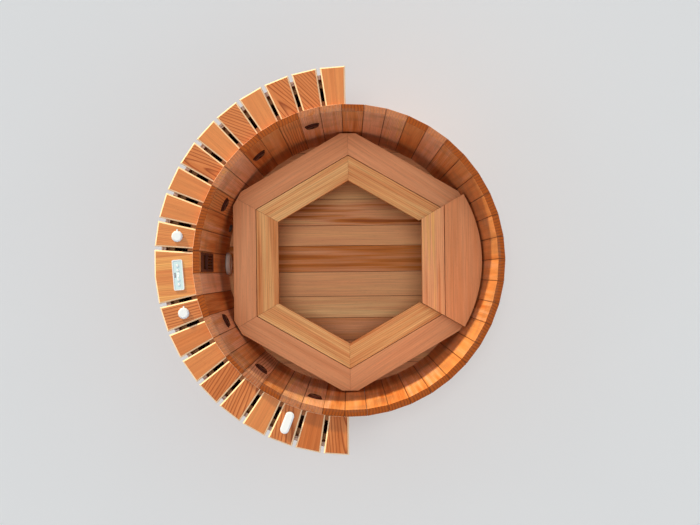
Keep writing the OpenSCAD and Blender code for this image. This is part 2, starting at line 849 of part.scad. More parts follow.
// The water ring with a riser to each jet and the line to the diverter and the pump
module water_manifold() {
    r = jet_pipe_d / 2;
    branches = [[slat_a(diverter_slat), knob_r], [feed_a, feed_r]];
    color("#e4e2dc")
    union() {
        translate([0, 0, water_ring_z]) ring_pipe(jet_a(0), jet_a(5), jet_pipe_d);
        for (i = [0 : 5]) {
            tee(jet_a(i), ring_r, water_ring_z, jet_pipe_d);
            at(jet_a(i), ring_r, water_ring_z) cylinder(r = r - running, h = jet_z(i) - barrel_r - 1 - water_ring_z);
        }
        for (b = branches) {
            tee(b[0], ring_r, water_ring_z, jet_pipe_d);
            at(b[0], ring_r, water_ring_z) outwards() cylinder(r = r - 1, h = b[1] - ring_r);
            tee(b[0], b[1], water_ring_z, jet_pipe_d);
        }
        at(slat_a(diverter_slat), knob_r, water_ring_z) cylinder(r = r, h = diverter_bottom() - water_ring_z);
        at(feed_a, feed_r, feed_z) cylinder(r = r, h = water_ring_z - feed_z);
        tee(feed_a, feed_r, feed_z, main_pipe_d);
        at(feed_a, 0, feed_z) outwards() pipe_end(feed_r + main_pipe_d / 2, main_pipe_d);
        at(feed_a, feed_r, feed_z) outwards() cylinder(r = main_pipe_d / 2, h = main_pipe_d);
    }
}

function diverter_bottom() = slat_z - diverter_l;

// One air ring for each bank of three jets, each from its own air valve
module air_manifolds() {
    color("#e4e2dc")
    for (side = [0, 1]) {
        valve_a = slat_a(knob_slats[side]);
        far = side == 0 ? jet_a(0) : jet_a(5);
        union() {
            translate([0, 0, air_ring_z]) ring_pipe(min(valve_a, far), max(valve_a, far), air_pipe_d);
            for (i = [3 * side : 3 * side + 2]) {
                tee(jet_a(i), ring_r, air_ring_z, air_pipe_d);
                at(jet_a(i), ring_r, jet_z(i) + barrel_r + 1)
                    cylinder(r = air_pipe_d / 2 - running, h = air_ring_z - jet_z(i) - barrel_r - 1);
            }
            tee(valve_a, ring_r, air_ring_z, air_pipe_d);
            at(valve_a, ring_r, air_ring_z) outwards()
                cylinder(r = air_pipe_d / 2, h = knob_r - ring_r - valve_r - 5);
        }
    }
}

module suction_line() {
    color("#e4e2dc")
    difference() {
        union() {
            at(180, 0, suction_z) outwards() pipe_end(out_r + 26, main_pipe_d);
            at(180, outlet_r, suction_z) cylinder(r = jet_pipe_d / 2, h = skim_box_z - suction_z);
            tee(180, outlet_r, suction_z, main_pipe_d);
        }
        at(180, out_r + 20, suction_z) outwards() cylinder(r = main_pipe_d / 2 - pipe_wall, h = 2 * shelf_r);
    }
}

module return_pipe() {
    from = out_r + 20;
    color("#e4e2dc")
    at(stave_a(return_stave), 0, return_z) outwards() difference() {
        pipe_end(from, jet_pipe_d);
        translate([0, 0, from - 1]) cylinder(r = jet_pipe_d / 2 - pipe_wall, h = stub_end);
    }
}

// ---- air valves and diverter ----

module air_valve_body() {
    translate([0, 0, -valve_drop]) cylinder(r = valve_r, h = valve_drop + 1);
    cylinder(r = knob_d / 2 - 6, h = 1.5);
    translate([0, 0, -slat_t - 10]) cylinder(r = valve_r + 5, h = 10, $fn = 8);
    translate([0, 0, -valve_drop]) cylinder(r = valve_r + 3, h = 44);
    translate([0, 0, 1]) cylinder(r = 6, h = knob_h - 6);
}

module air_valve_bodies() {
    color("#dcdad3")
    for (i = knob_slats) at(slat_a(i), knob_r, slat_top) difference() {
        air_valve_body();
        // Socket for the air pipe
        translate([-valve_r - 10, 0, air_ring_z - slat_top]) outwards() cylinder(r = air_pipe_d / 2, h = 15);
    }
}

// A knob whose pointer is turned to +Y at rest
module air_knob(i) {
    hub = 6 + running;
    color("#f4f3ef")
    translate([knob_r * cos(slat_a(i)), knob_r * sin(slat_a(i)), slat_top + 1.5 + knob_gap]) difference() {
        union() {
            cylinder(r = knob_d / 2, h = knob_h * 0.45);
            translate([0, 0, knob_h * 0.45]) cylinder(r1 = knob_d / 2, r2 = knob_d / 2 - 6, h = knob_h * 0.3);
            cylinder(r = knob_d / 2 - 9, h = knob_h);
            translate([-4, knob_d / 2 - 4, 0]) cube([8, 13, knob_h * 0.4]);
        }
        translate([0, 0, -1]) cylinder(r = hub, h = knob_h - 5);
        for (k = [0 : 11]) rotate(15 + k * 30) translate([knob_d / 2 + 1.5, 0, -1])
            cylinder(r = 3.5, h = knob_h + 2, $fn = 24);
    }
}

module diverter_body() {
    drop = slat_top - diverter_bottom();
    ball = 18;
    color("#dcdad3")
    at(slat_a(diverter_slat), knob_r, slat_top) {
        translate([0, 0, -drop]) cylinder(r = jet_pipe_d / 2 + 5, h = 40);
        translate([0, 0, -drop + 40]) cylinder(r = neck_r, h = drop - 40 + 1);
        translate([0, 0, -slat_t - 12]) cylinder(r = neck_r + 1, h = 12, $fn = 8);
        cylinder(r = neck_flange_r, h = 3);
        cylinder(r = ball, h = handle_rise - 0.5);
        cylinder(r = 7, h = handle_rise + handle_t - 4);
    }
}

// A long rounded handle with a raised grip, lying across the shelf
module diverter_handle() {
    straight = handle_l - handle_w;
    color("#f4f3ef")
    at(slat_a(diverter_slat), knob_r, slat_top + handle_rise) difference() {
        union() {
            linear_extrude(handle_t * 0.6) {
                square([straight, handle_w], center = true);
                for (s = [-1, 1]) translate([s * straight / 2, 0]) circle(r = handle_w / 2);
            }
            linear_extrude(handle_t) {
                square([straight, handle_w - 14], center = true);
                for (s = [-1, 1]) translate([s * straight / 2, 0]) circle(r = handle_w / 2 - 7);
            }
        }
        translate([0, 0, -1]) cylinder(r = 7 + running, h = handle_t - 2);
    }
}

// ---- skimmer ----

module skimmer_body() {
    inner_w = skim_box_w - 2 * skim_wall;
    color("#4b4a49")
    at(180, out_r, skim_box_z) difference() {
        translate([0, -skim_box_w / 2, 0]) cube([skim_box_l, skim_box_w, skim_box_top - skim_box_z]);
        translate([skim_wall, -inner_w / 2, skim_wall])
            cube([skim_box_l - 2 * skim_wall, inner_w, skim_box_top - skim_box_z - 2 * skim_wall]);
        // The weir opening, the lower opening and the channel for the hoop
        translate([-1, -throat_w / 2 - cheek_t, throat_z - skim_box_z - 4])
            cube([skim_wall + 2, throat_w + 2 * cheek_t, throat_h + 8]);
        translate([-1, -throat_w / 2, lower_z - skim_box_z]) cube([skim_wall + 2, throat_w, lower_h]);
        translate([-1, -skim_box_w, hoop_z[3] - hoop_h / 2 - 2 - skim_box_z])
            cube([hoop_t + 1.5, 2 * skim_box_w, hoop_h + 4]);
        // The outlet
        translate([outlet_r - out_r, 0, -1]) cylinder(r = jet_pipe_d / 2 - pipe_wall, h = skim_wall + 2);
    }
    // The ring that the filter stands on
    color("#4b4a49")
    at(180, filter_x, skim_box_z + skim_wall - 0.5) tube(filter_core_r + 5, filter_core_r, filter_seat_h + 0.5);
}

module skimmer_face() {
    half = skim_w / 2;
    inner = throat_w / 2;
    slot_pitch = (throat_w - slot_w) / (slot_count - 1);
    color("#3e2a20")
    at(180, in_r, 0) {
        difference() {
            union() {
                translate([-skim_t, -half, skim_z]) cube([skim_t, skim_w, skim_h]);
                // Sill under the weir
                translate([-skim_t - sill_l, -half + 8, throat_z - 12]) cube([sill_l + 1, skim_w - 16, 9]);
                // Cheeks that carry the weir's pins
                for (s = [-1, 1]) translate([-1, s * (inner + cheek_t / 2) - cheek_t / 2, throat_z - 3])
                    cube([cheek_l + 1, cheek_t, throat_h + 6]);
            }
            translate([-skim_t - 1, -inner, throat_z]) cube([skim_t + 2, throat_w, throat_h]);
            // A shallow panel round the lower slots
            translate([-skim_t - 1, -half + 8, skim_z + 12]) cube([4, skim_w - 16, throat_z - skim_z - 36]);
            for (k = [0 : slot_count - 1])
                translate([-skim_t - 1, -inner + k * slot_pitch, lower_z + 4])
                    cube([skim_t + 2, slot_w, lower_h - 8]);
            translate([weir_x - in_r, 0, weir_pin_z]) rotate([90, 0, 0])
                cylinder(r = weir_pin_r + running, h = throat_w + 4, center = true);
        }
    }
}

// The flap stands up in the weir opening and tips outwards
module weir_flap() {
    w = throat_w - 4;
    h = throat_top - weir_pin_z - 6;
    color("#6b4433")
    at(180, weir_x, weir_pin_z) {
        translate([-weir_t / 2, -w / 2, 0]) cube([weir_t, w, h]);
        rotate([90, 0, 0]) cylinder(r = weir_t / 2, h = w, center = true);
        rotate([90, 0, 0]) cylinder(r = weir_pin_r, h = throat_w + 3, center = true);
        translate([-weir_t / 2 - 5, -w / 2 + 6, h - 14]) cube([6, w - 12, 12]);
    }
}

// A pleated cartridge between two end caps
module filter_cartridge() {
    r = filter_d / 2;
    cap = 8;
    color("#e9edf0")
    at(180, filter_x, filter_z) difference() {
        union() {
            cylinder(r = r - 7, h = filter_h);
            for (z = [0, filter_h - cap]) translate([0, 0, z]) cylinder(r = r, h = cap);
            for (k = [0 : 23]) rotate(k * 15) translate([r - 12, -1.5, cap / 2]) cube([9, 3, filter_h - cap]);
        }
        translate([0, 0, -1]) cylinder(r = filter_core_r, h = filter_h - 20);
    }
}

// ---- wall fittings ----

// A flange on the inside of the wall, a barrel through it and a nut outside
module suction_fitting() {
    r = main_pipe_d / 2;
    color("#8f8f8c")
    at(180, in_r, suction_z) outwards() difference() {
        union() {
            translate([0, 0, -5]) cylinder(r = r + 20, h = 5);
            cylinder(r = r, h = stave_t + 25);
            translate([0, 0, stave_t]) cylinder(r = r + 12, h = 16, $fn = 8);
            translate([0, 0, stave_t + 16]) cylinder(r = r + 6, h = 10);
        }
        translate([0, 0, -6]) cylinder(r = r - 6, h = stave_t + 60);
    }
}

// A domed grille with rings of holes
module suction_cover() {
    r = suction_d / 2;
    wall = 5;
    color("#9c978f")
    at(180, in_r - 5, suction_z) outwards() {
        difference() {
            rotate([180, 0, 0]) {
                cylinder(r = r, h = suction_out * 0.45);
                translate([0, 0, suction_out * 0.45]) cylinder(r1 = r, r2 = r - 10, h = suction_out * 0.3);
                translate([0, 0, suction_out * 0.75])
                    cylinder(r1 = r - 10, r2 = r - 34, h = suction_out * 0.25 - 5);
            }
            translate([0, 0, -suction_out * 0.45 - 3]) cylinder(r = r - wall - 8, h = suction_out);
            translate([0, 0, -suction_out * 0.45]) cylinder(r = r - wall, h = suction_out);
            for (ring = [0 : 2], k = [0 : 7 + 6 * ring])
                rotate(k * 360 / (8 + 6 * ring)) translate([14 + 12 * ring, 0, -2 * suction_out])
                    cylinder(r = 3, h = 2 * suction_out, $fn = 16);
        }
        // Feet that stand on the fitting's flange
        for (s = [-1, 1]) translate([0, s * (main_pipe_d / 2 + 14), -suction_out * 0.45 - 4])
            cylinder(r = 4, h = suction_out * 0.45 + 4);
    }
}

module return_fitting() {
    r = jet_pipe_d / 2;
    color("#57504e")
    at(stave_a(return_stave), in_r, return_z) outwards() difference() {
        union() {
            translate([0, 0, -14]) cylinder(r1 = return_d / 2 - 8, r2 = return_d / 2, h = 9);
            translate([0, 0, -5]) cylinder(r = return_d / 2, h = 5);
            cylinder(r = r, h = stave_t + 20);
            translate([0, 0, stave_t]) cylinder(r = r + 10, h = 12, $fn = 8);
        }
        translate([0, 0, -15]) cylinder(r = r - 14, h = 20);
        translate([0, 0, 4]) cylinder(r = r - 6, h = stave_t + 60);
    }
}

// ---- control panel ----

module at_control(z = 0) {
    at(control_a, panel_r, slat_top + z) children();
}

// A white case that drops into the wide slat, with a raised border
module control_housing() {
    l = control_l - 2 * bezel_w;
    w = control_w - 2 * bezel_w;
    color("#f1f1ec")
    at_control() difference() {
        union() {
            linear_extrude(bezel_t) rounded_plate(control_l, control_w, bezel_r);
            translate([0, 0, -housing_h]) linear_extrude(housing_h) rounded_plate(l, w, 3);
            translate([0, 30, -housing_h - 14]) cylinder(r = 8, h = 15);
        }
        translate([0, 0, -housing_h + housing_t]) linear_extrude(housing_h + bezel_t)
            rounded_plate(l - 2 * housing_t, w - 2 * housing_t, 2);
        translate([0, 0, bezel_t - face_in - face_plate_t]) linear_extrude(20)
            rounded_plate(l + 2, w + 2, 4);
        translate([0, 30, -housing_h - 15]) cylinder(r = 4, h = 20);
    }
}

// The blue face, with the circuit board that hangs under it
module control_face() {
    l = control_l - 2 * bezel_w + 2 - 2 * fit;
    w = control_w - 2 * bezel_w + 2 - 2 * fit;
    top = bezel_t - face_in;
    color("#bcdcea")
    at_control() difference() {
        union() {
            translate([0, 0, top - face_plate_t]) linear_extrude(face_plate_t) rounded_plate(l, w, 4);
            for (y = [-70, 70]) translate([0, y, top - face_plate_t - 12]) cylinder(r = 3, h = 12.5);
            translate([0, 0, top - face_plate_t - 12 - board_t]) linear_extrude(board_t)
                rounded_plate(l - 2 * housing_t - 6, w - 2 * housing_t - 6, 2);
        }
        for (y = button_y) translate([0, y, top - face_plate_t - 1]) cylinder(r = button_d / 2 + fit, h = 20);
        translate([0, 0, top - 1]) linear_extrude(2) rounded_plate(36, 12, 5.9);
        translate([17, 0, top - 1]) linear_extrude(2) square([9, 28], center = true);
    }
}

module control_display() {
    color("#3a2230")
    at_control(bezel_t - face_in - 1) translate([17, 0, 0]) linear_extrude(1.3) square([8.8, 27.8], center = true);
}

module control_lens() {
    color("#e6f6f4")
    at_control(bezel_t - face_in - 1) linear_extrude(2) rounded_plate(35.8, 11.8, 5.8);
}

// A button with a wider foot under the face, which rests on its switch spring
module button(i) {
    top = bezel_t - face_in;
    color("#fbfbf8")
    at_control() translate([0, button_y[i], 0]) {
        translate([0, 0, top - face_plate_t - 1]) cylinder(r = button_d / 2, h = face_plate_t + 1 + button_rise - 1);
        translate([0, 0, top + button_rise - 1.001]) cylinder(r1 = button_d / 2, r2 = button_d / 2 - 1, h = 1);
        translate([0, 0, top - face_plate_t - fit - 1.7]) cylinder(r = button_d / 2 + 2, h = 1.7);
        translate([0, 0, top - face_plate_t - 12 + button_travel + fit]) cylinder(r = 2.5, h = 10);
    }
}

// ---- assembly ----

floor_joists();
floor_boards();
plain_staves();
bored_staves();
skimmer_stave();
hoops();
hoop_bolts();
bench_bearers();
bench_legs();
bench_battens();
bench_inner_boards();
bench_outer_boards();
raised_seat_boards();
shelf_slats();
valve_slats();
control_slat();
inner_ledger();
skirt_rails();
skirt_posts();
skirt_boards();
end_panels();
wood_screws();
jet_bodies();
jet_nuts();
jet_face(0);  // jet_face_1
jet_face(1);  // jet_face_2
jet_face(2);  // jet_face_3
jet_face(3);  // jet_face_4
jet_face(4);  // jet_face_5
jet_face(5);  // jet_face_6
jet_nozzle(0);  // jet_nozzle_1
jet_nozzle(1);  // jet_nozzle_2
jet_nozzle(2);  // jet_nozzle_3
jet_nozzle(3);  // jet_nozzle_4
jet_nozzle(4);  // jet_nozzle_5
jet_nozzle(5);  // jet_nozzle_6
water_manifold();
air_manifolds();
air_valve_bodies();
air_knob(knob_slats[0]);  // air_knob_a
air_knob(knob_slats[1]);  // air_knob_b
diverter_body();
diverter_handle();
skimmer_body();
skimmer_face();
weir_flap();
filter_cartridge();
suction_fitting();
suction_cover();
return_fitting();
suction_line();
return_pipe();
control_housing();
control_face();
control_display();
control_lens();
button(0);  // button_1
button(1);  // button_2
button(2);  // button_3
button(3);  // button_4
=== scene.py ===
"""A staved cedar hot tub: the finish of its boards, hoops, jets and controls, seen from above."""
import math
import random

import bpy
from mathutils import Matrix, Vector


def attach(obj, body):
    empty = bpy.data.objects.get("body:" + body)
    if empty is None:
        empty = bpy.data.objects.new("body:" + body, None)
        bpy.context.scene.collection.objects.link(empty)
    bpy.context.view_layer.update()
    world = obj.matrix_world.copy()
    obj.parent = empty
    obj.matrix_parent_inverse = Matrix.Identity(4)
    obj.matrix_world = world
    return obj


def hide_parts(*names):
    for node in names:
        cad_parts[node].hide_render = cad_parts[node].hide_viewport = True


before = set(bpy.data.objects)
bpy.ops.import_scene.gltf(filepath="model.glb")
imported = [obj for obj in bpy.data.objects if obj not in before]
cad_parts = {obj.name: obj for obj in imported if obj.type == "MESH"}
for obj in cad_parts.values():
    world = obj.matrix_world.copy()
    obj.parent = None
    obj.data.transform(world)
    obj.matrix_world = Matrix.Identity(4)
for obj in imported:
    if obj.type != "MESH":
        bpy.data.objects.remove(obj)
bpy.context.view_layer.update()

# Every size is in metres. The shelf has a place for each slat, and two for the wide one
STAVES = 43
SLAT_PLACES = 21
JETS = 6
BUTTONS = 4
STAVE_STEP = math.radians(360 / STAVES)
SLAT_STEP = math.radians(180 / SLAT_PLACES)
# The shelf starts here and goes on for half a turn. The wide slat takes its places 10 and 11
SHELF_START = math.radians(90)
WIDE_SLAT_TURN = SHELF_START + 11 * SLAT_STEP
# The wide slat is glued up from strips of this width, with so many joints each side of its middle
STRIP_WIDTH = 0.038
JOINTS_EACH_SIDE = 4
# The raised seat's inner and outer boards meet at this X
RAISED_SEAT_JOINT = 0.62

UP = Vector((0, 0, 1))
draw = random.Random(43)

# ---- modelling helpers ----

# Vertices closer than this are merged
SAME_PLACE = 1e-6
# Faces that meet at less than this angle are joined
SAME_FLAT = math.radians(0.5)
# Faces that meet at more than this angle have their edge eased
EASED_FROM = math.radians(30)
EASED_FACETS = 2
# Faces that meet at less than this angle are shaded as one curve
SMOOTH_TO = math.radians(35)


def only(*objects):
    """Selects these objects alone, the first as the active one."""
    bpy.ops.object.select_all(action="DESELECT")
    for one in objects:
        one.select_set(True)
    bpy.context.view_layer.objects.active = objects[0]


def middle_of(piece):
    """The mean of a piece's vertices."""
    corners = [v.co for v in piece.data.vertices]
    return sum(corners, Vector()) / len(corners)


def applied(piece, modifier):
    """Applies a modifier to its piece."""
    only(piece)
    bpy.ops.object.modifier_apply(modifier=modifier.name)


def copied(node, shortest=0.0, split=False):
    """A copy of a CAD node, its loose triangles merged and its flat faces joined. Edges below the
    shortest are closed up, and split parts the hollowed faces, since easing folds both over."""
    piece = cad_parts[node].copy()
    piece.data = piece.data.copy()
    piece.name = piece.data.name = "finished_" + node
    piece.parent = None
    for key in list(piece.keys()):
        del piece[key]
    piece.data.materials.clear()
    bpy.context.scene.collection.objects.link(piece)
    only(piece)
    bpy.ops.mesh.customdata_custom_splitnormals_clear()
    bpy.ops.object.mode_set(mode="EDIT")
    bpy.ops.mesh.select_all(action="SELECT")
    bpy.ops.mesh.remove_doubles(threshold=SAME_PLACE)
    bpy.ops.mesh.dissolve_limited(angle_limit=SAME_FLAT)
    if shortest:
        bpy.ops.mesh.dissolve_degenerate(threshold=shortest)
    if split:
        bpy.ops.mesh.vert_connect_concave()
    bpy.ops.object.mode_set(mode="OBJECT")
    return piece


def eased(piece, rounding):
    """Rounds the sharp edges of a piece and smooths its curved faces."""
    bevel = piece.modifiers.new("eased edges", "BEVEL")
    bevel.width = rounding
    bevel.segments = EASED_FACETS
    bevel.limit_method = "ANGLE"
    bevel.angle_limit = EASED_FROM
    bevel.use_clamp_overlap = False
    applied(piece, bevel)
    bpy.ops.object.shade_smooth_by_angle(angle=SMOOTH_TO)
    return piece


def fitted(piece, material, body, slot, *nodes):
    """Gives a finished piece true normals on its flat faces, its material, the body it rides on
    and the nodes it stands for."""
    level = piece.modifiers.new("flat faces", "WEIGHTED_NORMAL")
    level.keep_sharp = True
    applied(piece, level)
    piece.data.materials.clear()
    piece.data.materials.append(material)
    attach(piece, body)
    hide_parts(*nodes)
    return piece


# ---- shader helpers ----

# Sockets of a Mix node, which are told apart by number: for colours, and for plain values
FACTOR, FROM_COLOUR, TO_COLOUR, MIXED_COLOUR = 0, 6, 7, 2
FROM_VALUE, TO_VALUE = 2, 3


def linear(shade):
    """An sRGB hex colour as linear red, green, blue and alpha."""
    parts = [int(shade[i:i + 2], 16) / 255 for i in (0, 2, 4)]
    parts = [c / 12.92 if c <= 0.04045 else ((c + 0.055) / 1.055) ** 2.4 for c in parts]
    return (*parts, 1.0)


def add_node(tree, kind, inputs=None, stops=None, **settings):
    """Adds a shader node. inputs holds its values and the sockets linked to it, by name or by
    number, and stops holds a colour ramp's places and shades."""
    node = tree.nodes.new("ShaderNode" + kind)
    for name, value in settings.items():
        setattr(node, name, value)
    for name, value in (inputs or {}).items():
        if isinstance(value, bpy.types.NodeSocket):
            tree.links.new(value, node.inputs[name])
        else:
            node.inputs[name].default_value = value
    for i, (place, shade) in enumerate(stops or []):
        element = node.color_ramp.elements[i] if i < 2 else node.color_ramp.elements.new(place)
        element.position = place
        element.color = linear(shade)
    return node


def blank(name, roughness, ior=1.5, metallic=0.0, shine=0.5):
    """A new material, its node tree and the shader at its end. shine is 0.5 for a closed surface
    and less for an open-pored or textured one."""
    material = bpy.data.materials.new(name)
    material.use_nodes = True
    shader = material.node_tree.nodes["Principled BSDF"]
    shader.inputs["Roughness"].default_value = roughness
    shader.inputs["IOR"].default_value = ior
    shader.inputs["Metallic"].default_value = metallic
    shader.inputs["Specular IOR Level"].default_value = shine
    return material, material.node_tree, shader


# ---- cedar ----

# How often each pattern repeats in a metre: along the board, across it and through it
WAVER_SCALE = (1.6, 11, 11)
# Streaks of heartwood colour are 900 mm long and 30 mm across
STREAK_SCALE = (1.1, 34, 34)
# Bundles of fibres are 400 mm long and 10 mm across
BUNDLE_SCALE = (2.6, 100, 100)
# Real fibres and pores are under 0.1 mm across, which is too fine to show. Fibres are drawn 3 mm
# across and 140 mm long, and pores 5 mm across and 24 mm long
FIBRE_SCALE = (7, 330, 330)
PORE_SCALE = (42, 210, 210)
# Greyer patches are 220 mm across, and take up to this share of the wood's colour
PATCH_SCALE = 4.5
PATCH_SHARE = 0.35
# The rings waver within this width over 600 mm of length, mostly by less than 10 mm either way
WAVER = 0.03
# How much lighter the lightest wood is than the darkest, from bundle to bundle, from fibre to
# fibre and in the pores
BUNDLE_CONTRAST = 0.5
FIBRE_CONTRAST = 0.28
PORE_CONTRAST = 0.14
# Bands of dark years on end grain are this far apart
END_BAND = 0.018
# One growth ring, from its early wood to its late wood, and one band on end grain
RING_STOPS = [(0, "505050"), (1, "505050"), (0.22, "000000"), (0.6, "282828"), (0.88, "ffffff")]
BAND_STOPS = [(0, "606060"), (1, "606060"), (0.3, "000000"), (0.5, "303030"), (0.8, "e0e0e0")]
BAND_SHADE = "5a2404"
PATCH_SHADE = "7c6450"
WOOD_SHINE = 0.14
# How far roughness goes below and above a timber's own, and how deep its relief is
WOOD_SMOOTHER, WOOD_ROUGHER = 0.08, 0.12
WOOD_RELIEF = 0.0006
# Late wood stands this many times as high as the highest fibre
LATE_WOOD_HEIGHT = 0.6


def growth_rings(tree, grain, spacing, strength):
    """The distance from the heart of the tree, and the rings round it, which waver along the
    board."""
    slow = add_node(tree, "Mapping", {"Vector": grain, "Scale": WAVER_SCALE}).outputs[0]
    waver = {"Vector": slow, "Scale": 1.0, "Detail": 2.0}
    waver = add_node(tree, "TexNoise", waver).outputs["Color"]
    waver = add_node(tree, "VectorMath", {0: waver, 1: (0.5, 0.5, 0.5)}, operation="SUBTRACT")
    waver = {0: waver.outputs[0], "Scale": WAVER}
    waver = add_node(tree, "VectorMath", waver, operation="SCALE").outputs[0]
    bent = add_node(tree, "VectorMath", {0: grain, 1: waver}, operation="ADD").outputs[0]
    bent = add_node(tree, "VectorMath", {0: bent, 1: (0, 1, 1)}, operation="MULTIPLY").outputs[0]
    radius = add_node(tree, "VectorMath", {0: bent}, operation="LENGTH").outputs["Value"]
    years = add_node(tree, "Math", {0: radius, 1: spacing}, operation="DIVIDE").outputs[0]
    year = add_node(tree, "Math", {0: years}, operation="FRACT").outputs[0]
    ring = add_node(tree, "ValToRGB", {0: year}, RING_STOPS).outputs[0]
    ring = add_node(tree, "Math", {0: ring, 1: strength}, operation="MULTIPLY").outputs[0]
    return radius, ring


def heartwood(tree, grain, tone, streaks, shades):
    """Streaks of heartwood colour round the board's own tone."""
    wide = add_node(tree, "Mapping", {"Vector": grain, "Scale": STREAK_SCALE}).outputs[0]
    wide = {"Vector": wide, "Scale": 1.0, "Detail": 3.0}
    wide = add_node(tree, "TexNoise", wide).outputs["Fac"]
    wide = add_node(tree, "Math", {0: wide, 1: 0.5}, operation="SUBTRACT").outputs[0]
    tone = {0: wide, 1: streaks, 2: tone}
    tone = add_node(tree, "Math", tone, operation="MULTIPLY_ADD").outputs[0]
    # A ramp starts with its two end stops, so these come first
    steps = len(shades) - 1
    stops = [(i / steps, shades[i]) for i in (0, steps, *range(1, steps))]
    return add_node(tree, "ValToRGB", {0: tone}, stops).outputs[0]


def fibres(tree, grain):
    """The fine fibres, and how light they, their bundles and the short pores leave the wood."""
    bundle = add_node(tree, "Mapping", {"Vector": grain, "Scale": BUNDLE_SCALE}).outputs[0]
    bundle = {"Vector": bundle, "Scale": 1.0, "Detail": 2.0}
    bundle = add_node(tree, "TexNoise", bundle).outputs["Fac"]
    bundle = {0: bundle, 1: BUNDLE_CONTRAST, 2: 1 - BUNDLE_CONTRAST / 2}
    bundle = add_node(tree, "Math", bundle, operation="MULTIPLY_ADD").outputs[0]
    fine = add_node(tree, "Mapping", {"Vector": grain, "Scale": FIBRE_SCALE}).outputs[0]
    fine = {"Vector": fine, "Scale": 1.0, "Detail": 2.0}
    fine = add_node(tree, "TexNoise", fine).outputs["Fac"]
    pores = add_node(tree, "Mapping", {"Vector": grain, "Scale": PORE_SCALE}).outputs[0]
    pores = add_node(tree, "TexNoise", {"Vector": pores, "Scale": 1.0}).outputs["Fac"]
    pores = {"Value": pores, "From Min": 0.6, "From Max": 0.75, "To Min": 1.0,
             "To Max": 1 - PORE_CONTRAST}
    pores = add_node(tree, "MapRange", pores).outputs[0]
    light = {0: fine, 1: FIBRE_CONTRAST, 2: 1 - FIBRE_CONTRAST / 2}
    light = add_node(tree, "Math", light, operation="MULTIPLY_ADD").outputs[0]
    light = add_node(tree, "Math", {0: light, 1: bundle}, operation="MULTIPLY").outputs[0]
    light = add_node(tree, "Math", {0: light, 1: pores}, operation="MULTIPLY").outputs[0]
    return fine, light


def end_grain(tree, radius, tone, colour, end_shade):
    """End grain, with bands of dark years. On a light board it takes more of the board's colour."""
    band = add_node(tree, "Math", {0: radius, 1: END_BAND}, operation="DIVIDE").outputs[0]
    band = add_node(tree, "Math", {0: band}, operation="FRACT").outputs[0]
    band = add_node(tree, "ValToRGB", {0: band}, BAND_STOPS).outputs[0]
    ends = {FACTOR: band, FROM_COLOUR: linear(end_shade), TO_COLOUR: linear(BAND_SHADE)}
    ends = add_node(tree, "Mix", ends, data_type="RGBA").outputs[MIXED_COLOUR]
    own = {"Value": tone, "From Min": 0.55, "From Max": 0.75, "To Min": 0.03, "To Max": 0.35}
    own = add_node(tree, "MapRange", own).outputs[0]
    ends = {FACTOR: own, FROM_COLOUR: ends, TO_COLOUR: colour}
    return add_node(tree, "Mix", ends, data_type="RGBA").outputs[MIXED_COLOUR]


def grey_patches(tree, colour, inside):
    """Greyer patches within the radius inside, as cedar turns where it is often wet."""
    place = add_node(tree, "TexCoord").outputs["Object"]
    patches = {"Vector": place, "Scale": PATCH_SCALE, "Detail": 3.0}
    patches = add_node(tree, "TexNoise", patches).outputs["Fac"]
    patches = {"Value": patches, "From Min": 0.48, "From Max": 0.66, "To Max": PATCH_SHARE}
    patches = add_node(tree, "MapRange", patches).outputs[0]
    across = {0: place, 1: (1, 1, 0)}
    across = add_node(tree, "VectorMath", across, operation="MULTIPLY").outputs[0]
    across = add_node(tree, "VectorMath", {0: across}, operation="LENGTH").outputs["Value"]
    within = add_node(tree, "Math", {0: across, 1: inside}, operation="LESS_THAN").outputs[0]
    patches = add_node(tree, "Math", {0: patches, 1: within}, operation="MULTIPLY").outputs[0]
    patches = {FACTOR: patches, FROM_COLOUR: colour, TO_COLOUR: linear(PATCH_SHADE)}
    return add_node(tree, "Mix", patches, data_type="RGBA").outputs[MIXED_COLOUR]


